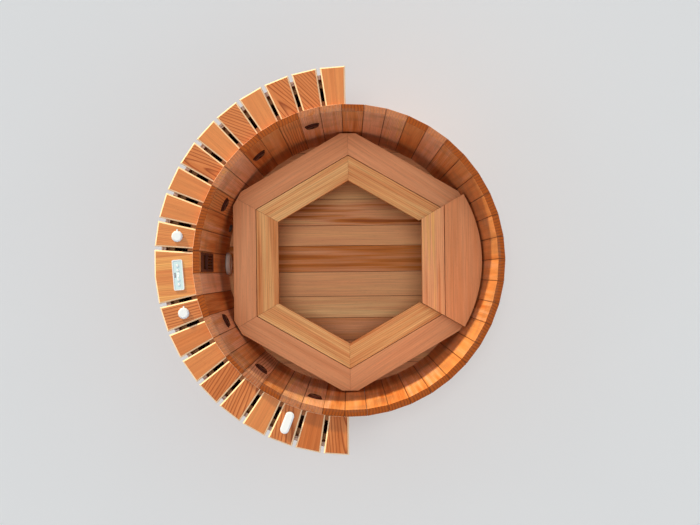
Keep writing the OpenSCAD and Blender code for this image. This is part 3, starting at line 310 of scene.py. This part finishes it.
def cedar(name, shades, end_shade, edge_highlight_shade_and_dirt, roughness=0.5, inside=0.0):
    """Western red cedar, planed and oiled: growth rings, broad streaks of heartwood colour and
    fine fibres. The rings are a solid pattern round the heart of the tree, and faces across the
    grain are given the colour of end grain. The rings are 4 to 17 mm apart where real ones are 2
    to 3 mm, which is too fine to show from where the tub is seen. Within the radius inside, the
    wood has greyer patches."""
    material, tree, shader = blank(name, roughness, shine=WOOD_SHINE)
    # What saw() writes on each board
    grain = add_node(tree, "Attribute", attribute_name="grain").outputs["Vector"]
    board = add_node(tree, "Attribute", attribute_name="board").outputs["Vector"]
    tone, strength, spacing = add_node(tree, "SeparateXYZ", {0: board}).outputs
    face = add_node(tree, "Attribute", attribute_name="face").outputs["Vector"]
    end, edge, streaks = add_node(tree, "SeparateXYZ", {0: face}).outputs

    radius, ring = growth_rings(tree, grain, spacing, strength)
    fine, light = fibres(tree, grain)
    colour = heartwood(tree, grain, tone, streaks, shades)
    colour = {FACTOR: ring, FROM_COLOUR: colour, TO_COLOUR: linear(shades[0])}
    colour = add_node(tree, "Mix", colour, data_type="RGBA").outputs[MIXED_COLOUR]
    ends = end_grain(tree, radius, tone, colour, end_shade)
    colour = {FACTOR: end, FROM_COLOUR: colour, TO_COLOUR: ends}
    colour = add_node(tree, "Mix", colour, data_type="RGBA").outputs[MIXED_COLOUR]
    # Eased edges take the edge colour: a painted highlight on slat tops, painted shade and dirt at
    # joints
    colour = {FACTOR: edge, FROM_COLOUR: colour, TO_COLOUR: linear(edge_highlight_shade_and_dirt)}
    colour = add_node(tree, "Mix", colour, data_type="RGBA").outputs[MIXED_COLOUR]
    colour = {0: colour, "Scale": light}
    colour = add_node(tree, "VectorMath", colour, operation="SCALE").outputs[0]
    if inside:
        colour = grey_patches(tree, colour, inside)
    tree.links.new(colour, shader.inputs["Base Color"])

    # The lighter fibres are a little duller than the darker ones, and late wood stands proud
    rough = {"Value": fine, "To Min": roughness - WOOD_SMOOTHER, "To Max": roughness + WOOD_ROUGHER}
    rough = add_node(tree, "MapRange", rough).outputs[0]
    tree.links.new(rough, shader.inputs["Roughness"])
    relief = {0: ring, 1: LATE_WOOD_HEIGHT, 2: fine}
    relief = add_node(tree, "Math", relief, operation="MULTIPLY_ADD").outputs[0]
    relief = {"Height": relief, "Strength": 0.35, "Distance": WOOD_RELIEF}
    tree.links.new(add_node(tree, "Bump", relief).outputs[0], shader.inputs["Normal"])
    return material


# ---- plastic and steel ----

PLASTIC_IOR = 1.53
# Plastic is uneven in patches 70 mm across
MOULD_CLOUD_SCALE = 14.0
MOULD_SMOOTHER, MOULD_ROUGHER = 0.05, 0.07
MOULD_RELIEF = 0.0002
# Steel's scratches repeat 7 times in a radian round the hoop and 900 times in a metre up it
SCRATCH_SCALE = (7, 1, 900)
SCRATCH_SHADE = "e2e4e6"
# Steel is duller in patches 110 mm across, where its roughness is up to so much more
STEEL_CLOUD_SCALE = 9.0
STEEL_ROUGHNESS, STEEL_ROUGHER = 0.2, 0.2
STEEL_RELIEF = 0.0002


def moulded(name, shade, second_shade, roughness, grit=0.0016, relief=0.1, shine=0.5):
    """Injection-moulded plastic: one colour through, slightly uneven, with the fine grain of a
    spark-eroded mould. Real grit is about 0.1 mm across, and is drawn 1 mm or more so that it
    shows."""
    material, tree, shader = blank(name, roughness, PLASTIC_IOR, shine=shine)
    place = add_node(tree, "TexCoord").outputs["Object"]
    cloud = {"Vector": place, "Scale": MOULD_CLOUD_SCALE, "Detail": 3.0}
    cloud = add_node(tree, "TexNoise", cloud).outputs["Fac"]
    grain = {"Vector": place, "Scale": 1 / grit, "Detail": 1.0}
    grain = add_node(tree, "TexNoise", grain).outputs["Fac"]
    mix = {FACTOR: cloud, FROM_COLOUR: linear(shade), TO_COLOUR: linear(second_shade)}
    mix = add_node(tree, "Mix", mix, data_type="RGBA").outputs[MIXED_COLOUR]
    tree.links.new(mix, shader.inputs["Base Color"])
    rough = {"Value": cloud, "To Min": roughness - MOULD_SMOOTHER,
             "To Max": roughness + MOULD_ROUGHER}
    tree.links.new(add_node(tree, "MapRange", rough).outputs[0], shader.inputs["Roughness"])
    bump = {"Height": grain, "Strength": relief, "Distance": MOULD_RELIEF}
    tree.links.new(add_node(tree, "Bump", bump).outputs[0], shader.inputs["Normal"])
    return material


def rolled_steel(name, shade):
    """Cold-rolled stainless strip: fine scratches run round the hoop and make its gleam a long
    one. They are drawn 1 mm apart, which is coarser than real ones, so that they show."""
    material, tree, shader = blank(name, STEEL_ROUGHNESS, metallic=1.0)
    place = add_node(tree, "TexCoord").outputs["Object"]
    x, y, height = add_node(tree, "SeparateXYZ", {0: place}).outputs
    turn = add_node(tree, "Math", {0: y, 1: x}, operation="ARCTAN2").outputs[0]
    strip = add_node(tree, "CombineXYZ", {0: turn, 2: height}).outputs[0]
    strip = add_node(tree, "Mapping", {"Vector": strip, "Scale": SCRATCH_SCALE}).outputs[0]
    scratch = {"Vector": strip, "Scale": 1.0, "Detail": 4.0}
    scratch = add_node(tree, "TexNoise", scratch).outputs["Fac"]
    cloud = {"Vector": place, "Scale": STEEL_CLOUD_SCALE, "Detail": 3.0}
    cloud = add_node(tree, "TexNoise", cloud).outputs["Fac"]
    mix = {FACTOR: scratch, FROM_COLOUR: linear(shade), TO_COLOUR: linear(SCRATCH_SHADE)}
    mix = add_node(tree, "Mix", mix, data_type="RGBA").outputs[MIXED_COLOUR]
    tree.links.new(mix, shader.inputs["Base Color"])
    rough = {0: cloud, 1: STEEL_ROUGHER, 2: STEEL_ROUGHNESS}
    rough = add_node(tree, "Math", rough, operation="MULTIPLY_ADD").outputs[0]
    tree.links.new(rough, shader.inputs["Roughness"])
    bump = {"Height": scratch, "Strength": 0.15, "Distance": STEEL_RELIEF}
    tree.links.new(add_node(tree, "Bump", bump).outputs[0], shader.inputs["Normal"])
    return material


# ---- materials ----

# Shades of each timber, from its darkest streaks to its lightest
STAVE_SHADES = ["98461a", "c0662a", "de9458", "ecb290", "f0b878"]
FLOOR_SHADES = ["984c10", "c27228", "dc9a6c", "e6ac76", "f0c288"]
SEAT_SHADES = ["c07444", "d48e5c", "e4a576", "eab07c", "eab670"]
INNER_SEAT_SHADES = ["ac5820", "d08648", "e2a064", "e8b070", "f2c484"]
SLAT_SHADES = ["8c4014", "bd6a34", "d0824c", "d68e54", "e4a864"]
SKIRT_SHADES = ["a8582a", "bd7040", "c98052", "d08e5e", "dca46e"]
FRAME_SHADES = ["8d5228", "a76a3e", "b67c52", "bf8a5e", "cb9a6c"]
# The staves' inner faces lie within this radius and get wet
WET_RADIUS = 0.89

# Planed staves: satin, red-brown to golden, with dark end grain, and joints darkened by painted shade
# and dirt
cedar_stave = cedar("planed cedar staves", STAVE_SHADES, "9b4903", "6a3416", inside=WET_RADIUS)
# Floor boards: the same finish on a more golden brown, with joints darkened by painted shade and dirt
cedar_floor = cedar("planed cedar floor", FLOOR_SHADES, "9a5a30", "6b3a1c")
# Seats: sanded smooth, so paler, pinker and a little glossier
cedar_seat = cedar("sanded cedar seats", SEAT_SHADES, "b06c44", "c98a62", roughness=0.45)
# The bench's inner ring: the same smooth finish on the most golden boards
cedar_inner_seat = cedar("sanded golden seats", INNER_SEAT_SHADES, "b06c44", "d09a60", roughness=0.45)
# Shelf slats: oiled orange tops, with a painted cream highlight on the eased top edges
cedar_slat = cedar("oiled cedar slats", SLAT_SHADES, "c07a48", "f8dab4", roughness=0.42)
# Skirt: oiled as the slats are, with its end grain painted pale as a highlight of the light that
# falls through the shelf's gaps onto its tops
cedar_skirt = cedar("oiled cedar skirt", SKIRT_SHADES, "d8c0ae", "f0d2ae", roughness=0.45)
# Hidden framing: left as sawn, dull and dry
cedar_frame = cedar("sawn cedar framing", FRAME_SHADES, "b98a62", "c99c70", roughness=0.62)
# Hoops gleam along their length, and the bolts and screws are a little darker
hoop_steel = rolled_steel("stainless hoop strip", "b9bcc0")
bolt_steel = rolled_steel("stainless bolts", "a2a6aa")
# Jets, skimmer and weir: textured dark brown plastic with hardly any gleam
brown_abs = moulded("brown ABS jets", "4c2318", "401c13", 0.5, shine=0.12)
black_abs = moulded("dark brown ABS nozzles", "38190f", "2e140c", 0.48, shine=0.12)
skimmer_abs = moulded("brown ABS skimmer face", "58291c", "4a2117", 0.5, shine=0.1)
weir_abs = moulded("brown weir flap", "6a3424", "5a2c1e", 0.5, shine=0.1)
# Nuts and the skimmer's box: plain grey plastic, out of sight
nut_abs = moulded("grey ABS nuts", "4b4a49", "424140", 0.45)
# Pipes: extruded, smooth and warm white, and valve bodies a shade duller
white_pvc = moulded("white PVC pipe", "e6e4de", "dcd9d2", 0.35)
valve_abs = moulded("off-white valve bodies", "dcdad3", "d2cfc6", 0.42)
# Knobs, buttons, case and handle: clean white with a soft gleam
white_abs = moulded("white ABS knobs and panel", "dfe7ef", "dae2ea", 0.34)
handle_abs = moulded("white ABS handle", "e7edf3", "e2e8ee", 0.34)
# Fittings under water: greys, from the pale suction cover to the dark return
grey_abs = moulded("grey suction fitting", "8f8f8c", "868683", 0.42)
cover_abs = moulded("pale grey suction cover", "ebe5dd", "e0dad1", 0.38)
return_abs = moulded("dark grey return fitting", "5a5350", "4c4643", 0.33)
# Filter: white felt, soft and without gleam
filter_felt = moulded("pleated polyester filter", "e9edf0", "dfe4e8", 0.85, grit=0.003, relief=0.5)
# Panel: a pale blue satin film, a dark glassy window and a glassy pale lens
blue_film = moulded("pale blue panel film", "c4e0e8", "bcdae4", 0.38, grit=0.001, relief=0.05)
dark_window = moulded("dark display window", "3a2230", "2d1a26", 0.12, grit=0.01, relief=0.0)
pale_lens = moulded("pale lens", "e3f4f2", "d7ece9", 0.15, grit=0.01, relief=0.0)

# ---- boards ----

# How a board was sawn: the heart's distance across and below it, the rings' spacing and strength,
# the strength of the colour streaks, and how fast the heart comes nearer along the board
QUARTER = dict(heart=(0.32, 0.02), spacing=0.0036, rings=0.16, streaks=0.45, slope=0.0)
STRAIGHT = dict(heart=(0.27, 0.03), spacing=0.009, rings=0.38, streaks=1.1, slope=0.004)
STREAKED = dict(heart=(0.27, 0.03), spacing=0.012, rings=0.42, streaks=2.6, slope=0.0)
STRIPED = dict(heart=(0.30, 0.05), spacing=0.0165, rings=0.95, streaks=0.4, slope=0.0)
FLAME = dict(heart=(0.05, 0.03), spacing=0.014, rings=1.0, streaks=0.6, slope=0.07)
CATHEDRAL = dict(heart=(0.015, 0.06), spacing=0.011, rings=0.5, streaks=0.6, slope=0.07)

# Each board comes from its own place in the log: anywhere along it, and a little to one side
ALONG_LOG = 9
BESIDE_HEART = 0.02
# How much darker or lighter a wide board's strips are, and how many tones are drawn for them
STRIP_TONES = (-0.28, 0.22)
STRIP_TONE_COUNT = 40
# A face leans 1 towards a direction that it faces squarely and 0 towards one that it lies along.
# An end leans more than this along the grain
END_LEAN = 0.75
# A slat's eased top edges lean between these two through the board
TOP_EDGE_LEANS = (0.35, 0.97)
# The eased edges at a joint lean between these two across the board
JOINT_LEANS = (0.25, 0.97)
# How much of the darker joint colour, painted shade with dirt, those edges take
JOINT_SHADE_AND_DIRT_SHARE = 0.65


def board_axes(way, middle, turn):
    """Unit vectors along the grain, across it and through the board, for a board at a place."""
    outwards = Vector((middle.x, middle.y, 0)).normalized()
    round_tub = UP.cross(outwards)
    along, across, through = {
        "up": (UP, round_tub, outwards),
        "round": (round_tub, outwards, UP),
        "out": (outwards, round_tub, UP),
        "x": (Vector((1, 0, 0)), Vector((0, 1, 0)), UP),
        "y": (Vector((0, 1, 0)), Vector((1, 0, 0)), UP),
    }[way]
    spin = Matrix.Rotation(math.radians(turn), 3, through)
    return spin @ along, spin @ across, through


def painted_top_highlights(_along, _across, through):
    """The eased top edges of a slat, painted cream as a highlight where they catch the light."""
    least, most = TOP_EDGE_LEANS
    return 1.0 if least < through < most else 0.0


def joint_shade_and_dirt(_along, across, _through):
    """The eased edges where two boards meet, painted darker as the shade in the groove between them
    and as dirt.
    """
    least, most = JOINT_LEANS
    return JOINT_SHADE_AND_DIRT_SHARE if least < across < most else 0.0


def saw(board, way, tone, cut, turn=0.0, edges=None, strips=None):
    """Writes a board's own grain on its mesh: where each corner lies in the log, the board's tone,
    ring strength and spacing, and which faces are end grain or, as edges says, eased edges painted
    with a highlight or with shade and dirt. strips is the width of the strips that a board is glued
    up from."""
    mesh = board.data
    middle = middle_of(board)
    along, across, through = board_axes(way, middle, turn)
    beside, below = cut["heart"]
    start = Vector((draw.uniform(-ALONG_LOG, ALONG_LOG), beside * draw.choice((-1, 1)), below))
    start.y += draw.uniform(-BESIDE_HEART, BESIDE_HEART)
    shifts = [draw.uniform(*STRIP_TONES) for _ in range(STRIP_TONE_COUNT)]
    grain, look, kind = [], [], []
    for face in mesh.polygons:
        strip = math.floor((face.center - middle).dot(across) / strips) if strips else 0
        shift = shifts[strip] if strips else 0.0
        lean = [abs(face.normal.dot(axis)) for axis in (along, across, through)]
        end = 1.0 if lean[0] > END_LEAN else 0.0
        edge = edges(*lean) if edges else 0.0
        for index in face.vertices:
            place = mesh.vertices[index].co - middle
            length = place.dot(along)
            # Each strip comes from a metre further along the log
            grain += (start.x + length + strip, start.y + place.dot(across),
                      start.z + place.dot(through) + cut["slope"] * length)
            look += (tone + shift, cut["rings"], cut["spacing"])
            kind += (end, edge, cut["streaks"])
    for name, values in (("grain", grain), ("board", look), ("face", kind)):
        attribute = mesh.attributes.new(name, "FLOAT_VECTOR", "CORNER")
        attribute.data.foreach_set("vector", values)


def boards_of(piece, order):
    """The separate boards of a piece, in an order given by a function of a board's middle."""
    only(piece)
    bpy.ops.object.mode_set(mode="EDIT")
    bpy.ops.mesh.select_all(action="SELECT")
    bpy.ops.mesh.separate(type="LOOSE")
    bpy.ops.object.mode_set(mode="OBJECT")
    return sorted(bpy.context.selected_objects, key=lambda board: order(middle_of(board)))


def turn_of(middle):
    """The angle round the tub at which a board stands, from 0 to a full turn."""
    return math.atan2(middle.y, middle.x) % math.tau


def round_the_tub(middle):
    """Orders boards by their angle round the tub, with height breaking ties."""
    return round(math.degrees(math.atan2(middle.y, middle.x)) % 360, 1), round(middle.z, 3)


def across_the_floor(middle):
    """Orders boards from -Y to +Y."""
    return middle.y


def dressed(node, way, material, slot, look, rounding, order=round_the_tub, shortest=0.0, **more):
    """The boards of a CAD node with eased edges and their own grain. look(i, middle) gives a
    board's tone, cut and, if its grain runs askew, the turn in degrees. copied() says what
    shortest does, and the rest goes to saw()."""
    piece = eased(copied(node, shortest), rounding)
    name = piece.name
    boards = boards_of(piece, order)
    for i, board in enumerate(boards):
        tone, cut, *turn = look(i, middle_of(board))
        saw(board, way, tone, cut, *turn, **more)
    only(*boards)
    if len(boards) > 1:
        bpy.ops.object.join()
    joined = bpy.context.view_layer.objects.active
    joined.name = joined.data.name = name
    return fitted(joined, material, "tub", slot, node)


# ---- which board looks how ----

# Tone 0 is a timber's darkest shade and 1 its lightest
PLAIN_TONES = (0.44, 0.52)
LIGHT_TONES = (0.7, 0.78)
DARK_TONES = (0.3, 0.36)
# Staves that stand out from their neighbours, by their place round the tub
LIGHT_STAVES = (6, 8, 9, 11, 12, 16, 17, 22, 24, 25, 27, 29, 30)
STRIPED_STAVES = (13, 18, 27)
DARK_STAVES = (15, 23)

# Tone and cut of each floor board, from -Y to +Y
FLOOR_LOOKS = [(0.5, QUARTER), (0.6, STRAIGHT), (0.42, QUARTER), (0.85, STRAIGHT),
               (0.68, QUARTER), (0.3, STRAIGHT), (0.66, QUARTER), (0.6, STREAKED),
               (0.85, STRAIGHT), (0.6, QUARTER), (0.5, STRAIGHT)]

# Slats with a figure, by their place on the shelf: tone, cut and the turn of the grain in degrees
SLAT_LOOKS = {
    1: (0.42, STRIPED, 32),
    2: (0.45, FLAME, 24),
    4: (0.45, STRIPED, 31),
    6: (0.4, FLAME, 8),
    8: (0.58, QUARTER, 0),
    9: (0.6, STRAIGHT, 0),
    12: (0.5, STRIPED, -4),
    13: (0.42, QUARTER, 0),
    15: (0.3, STRIPED, 15),
    16: (0.4, FLAME, 12),
    18: (0.42, FLAME, 10),
    19: (0.25, QUARTER, 0),
    20: (0.32, FLAME, 6),
}
SLAT_TONES = (0.5, 0.6)
WIDE_SLAT_TONE = 0.76
RAISED_INNER_LOOK = (0.62, STREAKED)
RAISED_OUTER_LOOK = (0.34, QUARTER)


def stave_look(_, middle):
    """A stave's tone and cut: light, dark or striped where the tub has such a stave."""
    place = math.floor(turn_of(middle) / STAVE_STEP)
    tone = draw.uniform(*PLAIN_TONES)
    if place in LIGHT_STAVES:
        tone = draw.uniform(*LIGHT_TONES)
    if place in DARK_STAVES:
        tone = draw.uniform(*DARK_TONES)
    return tone, STRIPED if place in STRIPED_STAVES else draw.choice((QUARTER, STRAIGHT))


def floor_look(i, _):
    """A floor board's tone and cut."""
    return FLOOR_LOOKS[i]


def raised_look(_, middle):
    """The raised seat's inner board is streaked and its outer board plain."""
    return RAISED_INNER_LOOK if middle.x < RAISED_SEAT_JOINT else RAISED_OUTER_LOOK


def slat_look(_, middle):
    """A slat's tone, cut and turn; the plain ones are quarter sawn."""
    place = math.floor((turn_of(middle) - SHELF_START) / SLAT_STEP)
    return SLAT_LOOKS.get(place, (draw.uniform(*SLAT_TONES), QUARTER, 0))


def plain_look(low, high, *cuts):
    """A look with a tone from low to high and one of the cuts, drawn board by board."""
    return lambda _, middle: (draw.uniform(low, high), draw.choice(cuts))


def strip_cuts(piece):
    """Cuts the wide slat's faces along the joints between its strips."""
    across = Vector((-math.sin(WIDE_SLAT_TURN), math.cos(WIDE_SLAT_TURN), 0))
    middle = middle_of(piece)
    only(piece)
    bpy.ops.object.mode_set(mode="EDIT")
    for i in range(-JOINTS_EACH_SIDE, JOINTS_EACH_SIDE + 1):
        joint = middle + across * STRIP_WIDTH * i
        bpy.ops.mesh.select_all(action="SELECT")
        bpy.ops.mesh.bisect(plane_co=joint, plane_no=across)
    bpy.ops.object.mode_set(mode="OBJECT")


def wide_slat():
    """The wide slat is glued up from strips of different tones."""
    piece = eased(copied("control_slat"), rounding=0.0015)
    strip_cuts(piece)
    # Its eased top edges get a painted cream highlight, as the other slats' do
    saw(piece, "out", WIDE_SLAT_TONE, STRAIGHT, edges=painted_top_highlights, strips=STRIP_WIDTH)
    return fitted(piece, cedar_slat, "tub", "cedar_slat", "control_slat")


def wooden_parts():
    """Every board of the tub, the bench, the shelf and the skirt."""
    # The staves' joints are darkened with painted shade and dirt
    for node in ("plain_staves", "bored_staves", "skimmer_stave"):
        dressed(node, "up", cedar_stave, "cedar_stave", stave_look,
                rounding=0.003, edges=joint_shade_and_dirt)
    # The floor boards' joints are darkened with painted shade and dirt
    # The shortest edges of the floor are where the tub's round outline clips a board's corner
    dressed("floor_boards", "x", cedar_floor, "cedar_floor", floor_look,
            rounding=0.002, order=across_the_floor, shortest=0.0035, edges=joint_shade_and_dirt)
    dressed("bench_outer_boards", "round", cedar_seat, "cedar_seat",
            plain_look(0.42, 0.52, QUARTER), rounding=0.001)
    dressed("raised_seat_boards", "round", cedar_seat, "cedar_seat", raised_look, rounding=0.001)
    dressed("bench_inner_boards", "round", cedar_inner_seat, "cedar_seat_light",
            plain_look(0.6, 0.75, STREAKED), rounding=0.001)
    # The slats' eased top edges get a painted cream highlight
    for node in ("shelf_slats", "valve_slats"):
        dressed(node, "out", cedar_slat, "cedar_slat", slat_look,
                rounding=0.0015, edges=painted_top_highlights)
    wide_slat()
    # The skirt's end grain is painted pale as a highlight of light through the shelf's gaps
    dressed("skirt_boards", "up", cedar_skirt, "cedar_skirt",
            plain_look(0.2, 0.6, QUARTER, STRAIGHT, CATHEDRAL), rounding=0.003)
    dressed("end_panels", "up", cedar_skirt, "cedar_skirt",
            plain_look(0.3, 0.5, CATHEDRAL), rounding=0.003)
    for node, way in (("bench_bearers", "out"), ("bench_battens", "out"), ("bench_legs", "up"),
                      ("inner_ledger", "round"), ("skirt_rails", "round"),
                      ("skirt_posts", "up"), ("floor_joists", "y")):
        dressed(node, way, cedar_frame, "cedar_frame",
                plain_look(0.3, 0.7, QUARTER, STRAIGHT), rounding=0.002)


# ---- metal and plastic ----


def trimmed(node, material, slot, rounding, body="tub", split=False):
    """A copy of a CAD node with its edges rounded as a mould or a press leaves them."""
    piece = eased(copied(node, split=split), rounding)
    return fitted(piece, material, body, slot, node)


def metal_and_plastic_parts():
    """Hoops, jets, pipes, skimmer and fittings."""
    trimmed("hoops", hoop_steel, "hoop_steel", rounding=0.0004, split=True)
    trimmed("hoop_bolts", bolt_steel, "bolt_steel", rounding=0.0006)
    trimmed("wood_screws", bolt_steel, "bolt_steel", rounding=0.0003)
    trimmed("jet_bodies", brown_abs, "jet_plastic", rounding=0.0004)
    trimmed("jet_nuts", nut_abs, "nut_plastic", rounding=0.001)
    for i in range(1, JETS + 1):
        face, nozzle = f"jet_face_{i}", f"jet_nozzle_{i}"
        trimmed(face, brown_abs, "jet_plastic", rounding=0.0004, body=face, split=True)
        trimmed(nozzle, black_abs, "nozzle_plastic", rounding=0.0005, body=nozzle)
    for node in ("water_manifold", "air_manifolds", "suction_line", "return_pipe"):
        trimmed(node, white_pvc, "pipe_pvc", rounding=0.0003)
    for node in ("air_valve_bodies", "diverter_body"):
        trimmed(node, valve_abs, "valve_plastic", rounding=0.0003)
    trimmed("skimmer_body", nut_abs, "nut_plastic", rounding=0.0005, split=True)
    trimmed("skimmer_face", skimmer_abs, "skimmer_plastic", rounding=0.001)
    trimmed("weir_flap", weir_abs, "weir_plastic", rounding=0.0004, body="weir_flap", split=True)
    trimmed("filter_cartridge", filter_felt, "filter_cloth", rounding=0.0006)
    trimmed("suction_fitting", grey_abs, "grey_plastic", rounding=0.001)
    trimmed("suction_cover", cover_abs, "cover_plastic", rounding=0.0004)
    trimmed("return_fitting", return_abs, "return_plastic", rounding=0.001)


def control_parts():
    """The knobs, the diverter handle and the panel with its buttons."""
    for knob in ("air_knob_a", "air_knob_b"):
        trimmed(knob, white_abs, "white_plastic", rounding=0.0005, body=knob)
    trimmed("diverter_handle", handle_abs, "white_plastic", rounding=0.0012,
            body="diverter_handle")
    trimmed("control_housing", white_abs, "white_plastic", rounding=0.0004)
    trimmed("control_face", blue_film, "face_blue", rounding=0.0003)
    trimmed("control_display", dark_window, "display_plastic", rounding=0.0002)
    trimmed("control_lens", pale_lens, "lens_plastic", rounding=0.0006)
    for i in range(1, BUTTONS + 1):
        button = f"button_{i}"
        trimmed(button, white_abs, "white_plastic", rounding=0.0004, body=button)


# ---- floor, lights and camera ----

# The studio floor's width, and how far it lies below the tub's underside
FLOOR_SIZE = 60
FLOOR_DROP = 0.001
FLOOR_SHADE, FLOOR_SECOND_SHADE = "f1f5f8", "eef2f5"
# Both lamps stand on this bearing, one almost overhead and one low
LAMP_BEARING = math.radians(126)
# What the room gives: light from its walls and its ceiling, and how bright it is when seen
ROOM_WALLS, ROOM_CEILING, ROOM_SEEN = 0.9, 0.24, 0.82
ROOM_SHADE = "fbfbfb"
# The pieces that stand outside the wall, below the shelf
OUTSIDE = ("skirt_boards", "end_panels", "water_manifold", "suction_line", "return_pipe")

# Where the photograph was taken from, as its perspective shows
CAMERA_PLACE = (0.0058, -0.074, 5.86)
CAMERA_TURN = math.radians(-0.6)
SENSOR_WIDTH = 36
# The lens's length and the picture's width in pixels
LENS_PIXELS, PICTURE_PIXELS = 790, 700
# The middle of the picture lies this share of its width above the lens's axis
CAMERA_SHIFT = 0.015


def studio_floor():
    """A plain pale floor, much wider than the view."""
    bpy.ops.mesh.primitive_plane_add(size=FLOOR_SIZE, location=(0, 0, -FLOOR_DROP))
    floor = bpy.context.active_object
    floor.name = "studio_floor"
    material, tree, shader = blank("pale matt floor", 0.9)
    place = add_node(tree, "TexCoord").outputs["Object"]
    cloud = {"Vector": place, "Scale": 0.8, "Detail": 2.0}
    cloud = add_node(tree, "TexNoise", cloud).outputs["Fac"]
    mix = {FACTOR: cloud, FROM_COLOUR: linear(FLOOR_SHADE), TO_COLOUR: linear(FLOOR_SECOND_SHADE)}
    mix = add_node(tree, "Mix", mix, data_type="RGBA").outputs[MIXED_COLOUR]
    tree.links.new(mix, shader.inputs["Base Color"])
    floor.data.materials.append(material)
    return floor


def sun(name, height, strength, softness, shade):
    """A lamp a long way off, at a height in degrees. softness is how wide it looks in degrees."""
    lamp = bpy.data.lights.new(name, "SUN")
    lamp.energy = strength
    lamp.angle = math.radians(softness)
    lamp.color = linear(shade)[:3]
    stand = bpy.data.objects.new(name, lamp)
    rise = math.radians(height)
    level = math.cos(rise)
    source = Vector((math.cos(LAMP_BEARING) * level, math.sin(LAMP_BEARING) * level,
                     math.sin(rise)))
    stand.rotation_euler = source.to_track_quat("Z", "Y").to_euler()
    bpy.context.scene.collection.objects.link(stand)
    return stand


def white_room():
    """An even pale room. Its walls are brighter than its ceiling, and light the inside of the tub,
    and what the camera, a gleam or a clear piece sees of it is one plain shade."""
    world = bpy.data.worlds.new("white room")
    bpy.context.scene.world = world
    world.use_nodes = True
    tree = world.node_tree
    back = tree.nodes["Background"]
    path = add_node(tree, "LightPath").outputs
    seen = {0: path["Is Camera Ray"], 1: path["Is Glossy Ray"]}
    seen = add_node(tree, "Math", seen, operation="MAXIMUM").outputs[0]
    seen = {0: seen, 1: path["Is Transmission Ray"]}
    seen = add_node(tree, "Math", seen, operation="MAXIMUM").outputs[0]
    way = add_node(tree, "TexCoord").outputs["Generated"]
    _, _, rise = add_node(tree, "SeparateXYZ", {0: way}).outputs
    room = {"Value": rise, "To Min": ROOM_WALLS, "To Max": ROOM_CEILING}
    room = add_node(tree, "MapRange", room).outputs[0]
    level = {FACTOR: seen, FROM_VALUE: room, TO_VALUE: ROOM_SEEN}
    level = add_node(tree, "Mix", level).outputs[0]
    back.inputs["Color"].default_value = linear(ROOM_SHADE)
    tree.links.new(level, back.inputs["Strength"])


def studio_light(*shaded):
    """A large soft lamp overhead, a low side lamp that catches the inside of the far wall and is
    flagged off the shaded pieces, and the room."""
    sun("soft overhead lamp", height=86, strength=1.12, softness=26, shade="fffdfa")
    side = sun("low side lamp", height=12.5, strength=4.5, softness=3, shade="ffe8b4")
    flagged = bpy.data.collections.new("not lit from the side")
    side.light_linking.receiver_collection = flagged
    for piece in shaded:
        flagged.objects.link(piece)
    for link in flagged.collection_objects:
        link.light_linking.link_state = "EXCLUDE"
    white_room()


def camera_above():
    """The camera looks straight down on the tub from a little to the near side of its middle."""
    lens_data = bpy.data.cameras.new("camera")
    lens_data.sensor_width = SENSOR_WIDTH
    lens_data.lens = SENSOR_WIDTH * LENS_PIXELS / PICTURE_PIXELS
    lens_data.shift_y = CAMERA_SHIFT
    camera = bpy.data.objects.new("camera", lens_data)
    camera.location = CAMERA_PLACE
    camera.rotation_euler = (0, 0, CAMERA_TURN)
    bpy.context.scene.collection.objects.link(camera)
    bpy.context.scene.camera = camera


camera_above()
wooden_parts()
metal_and_plastic_parts()
control_parts()
outside = [bpy.data.objects["finished_" + node] for node in OUTSIDE]
studio_light(studio_floor(), *outside)
bpy.context.scene.view_settings.view_transform = "Standard"
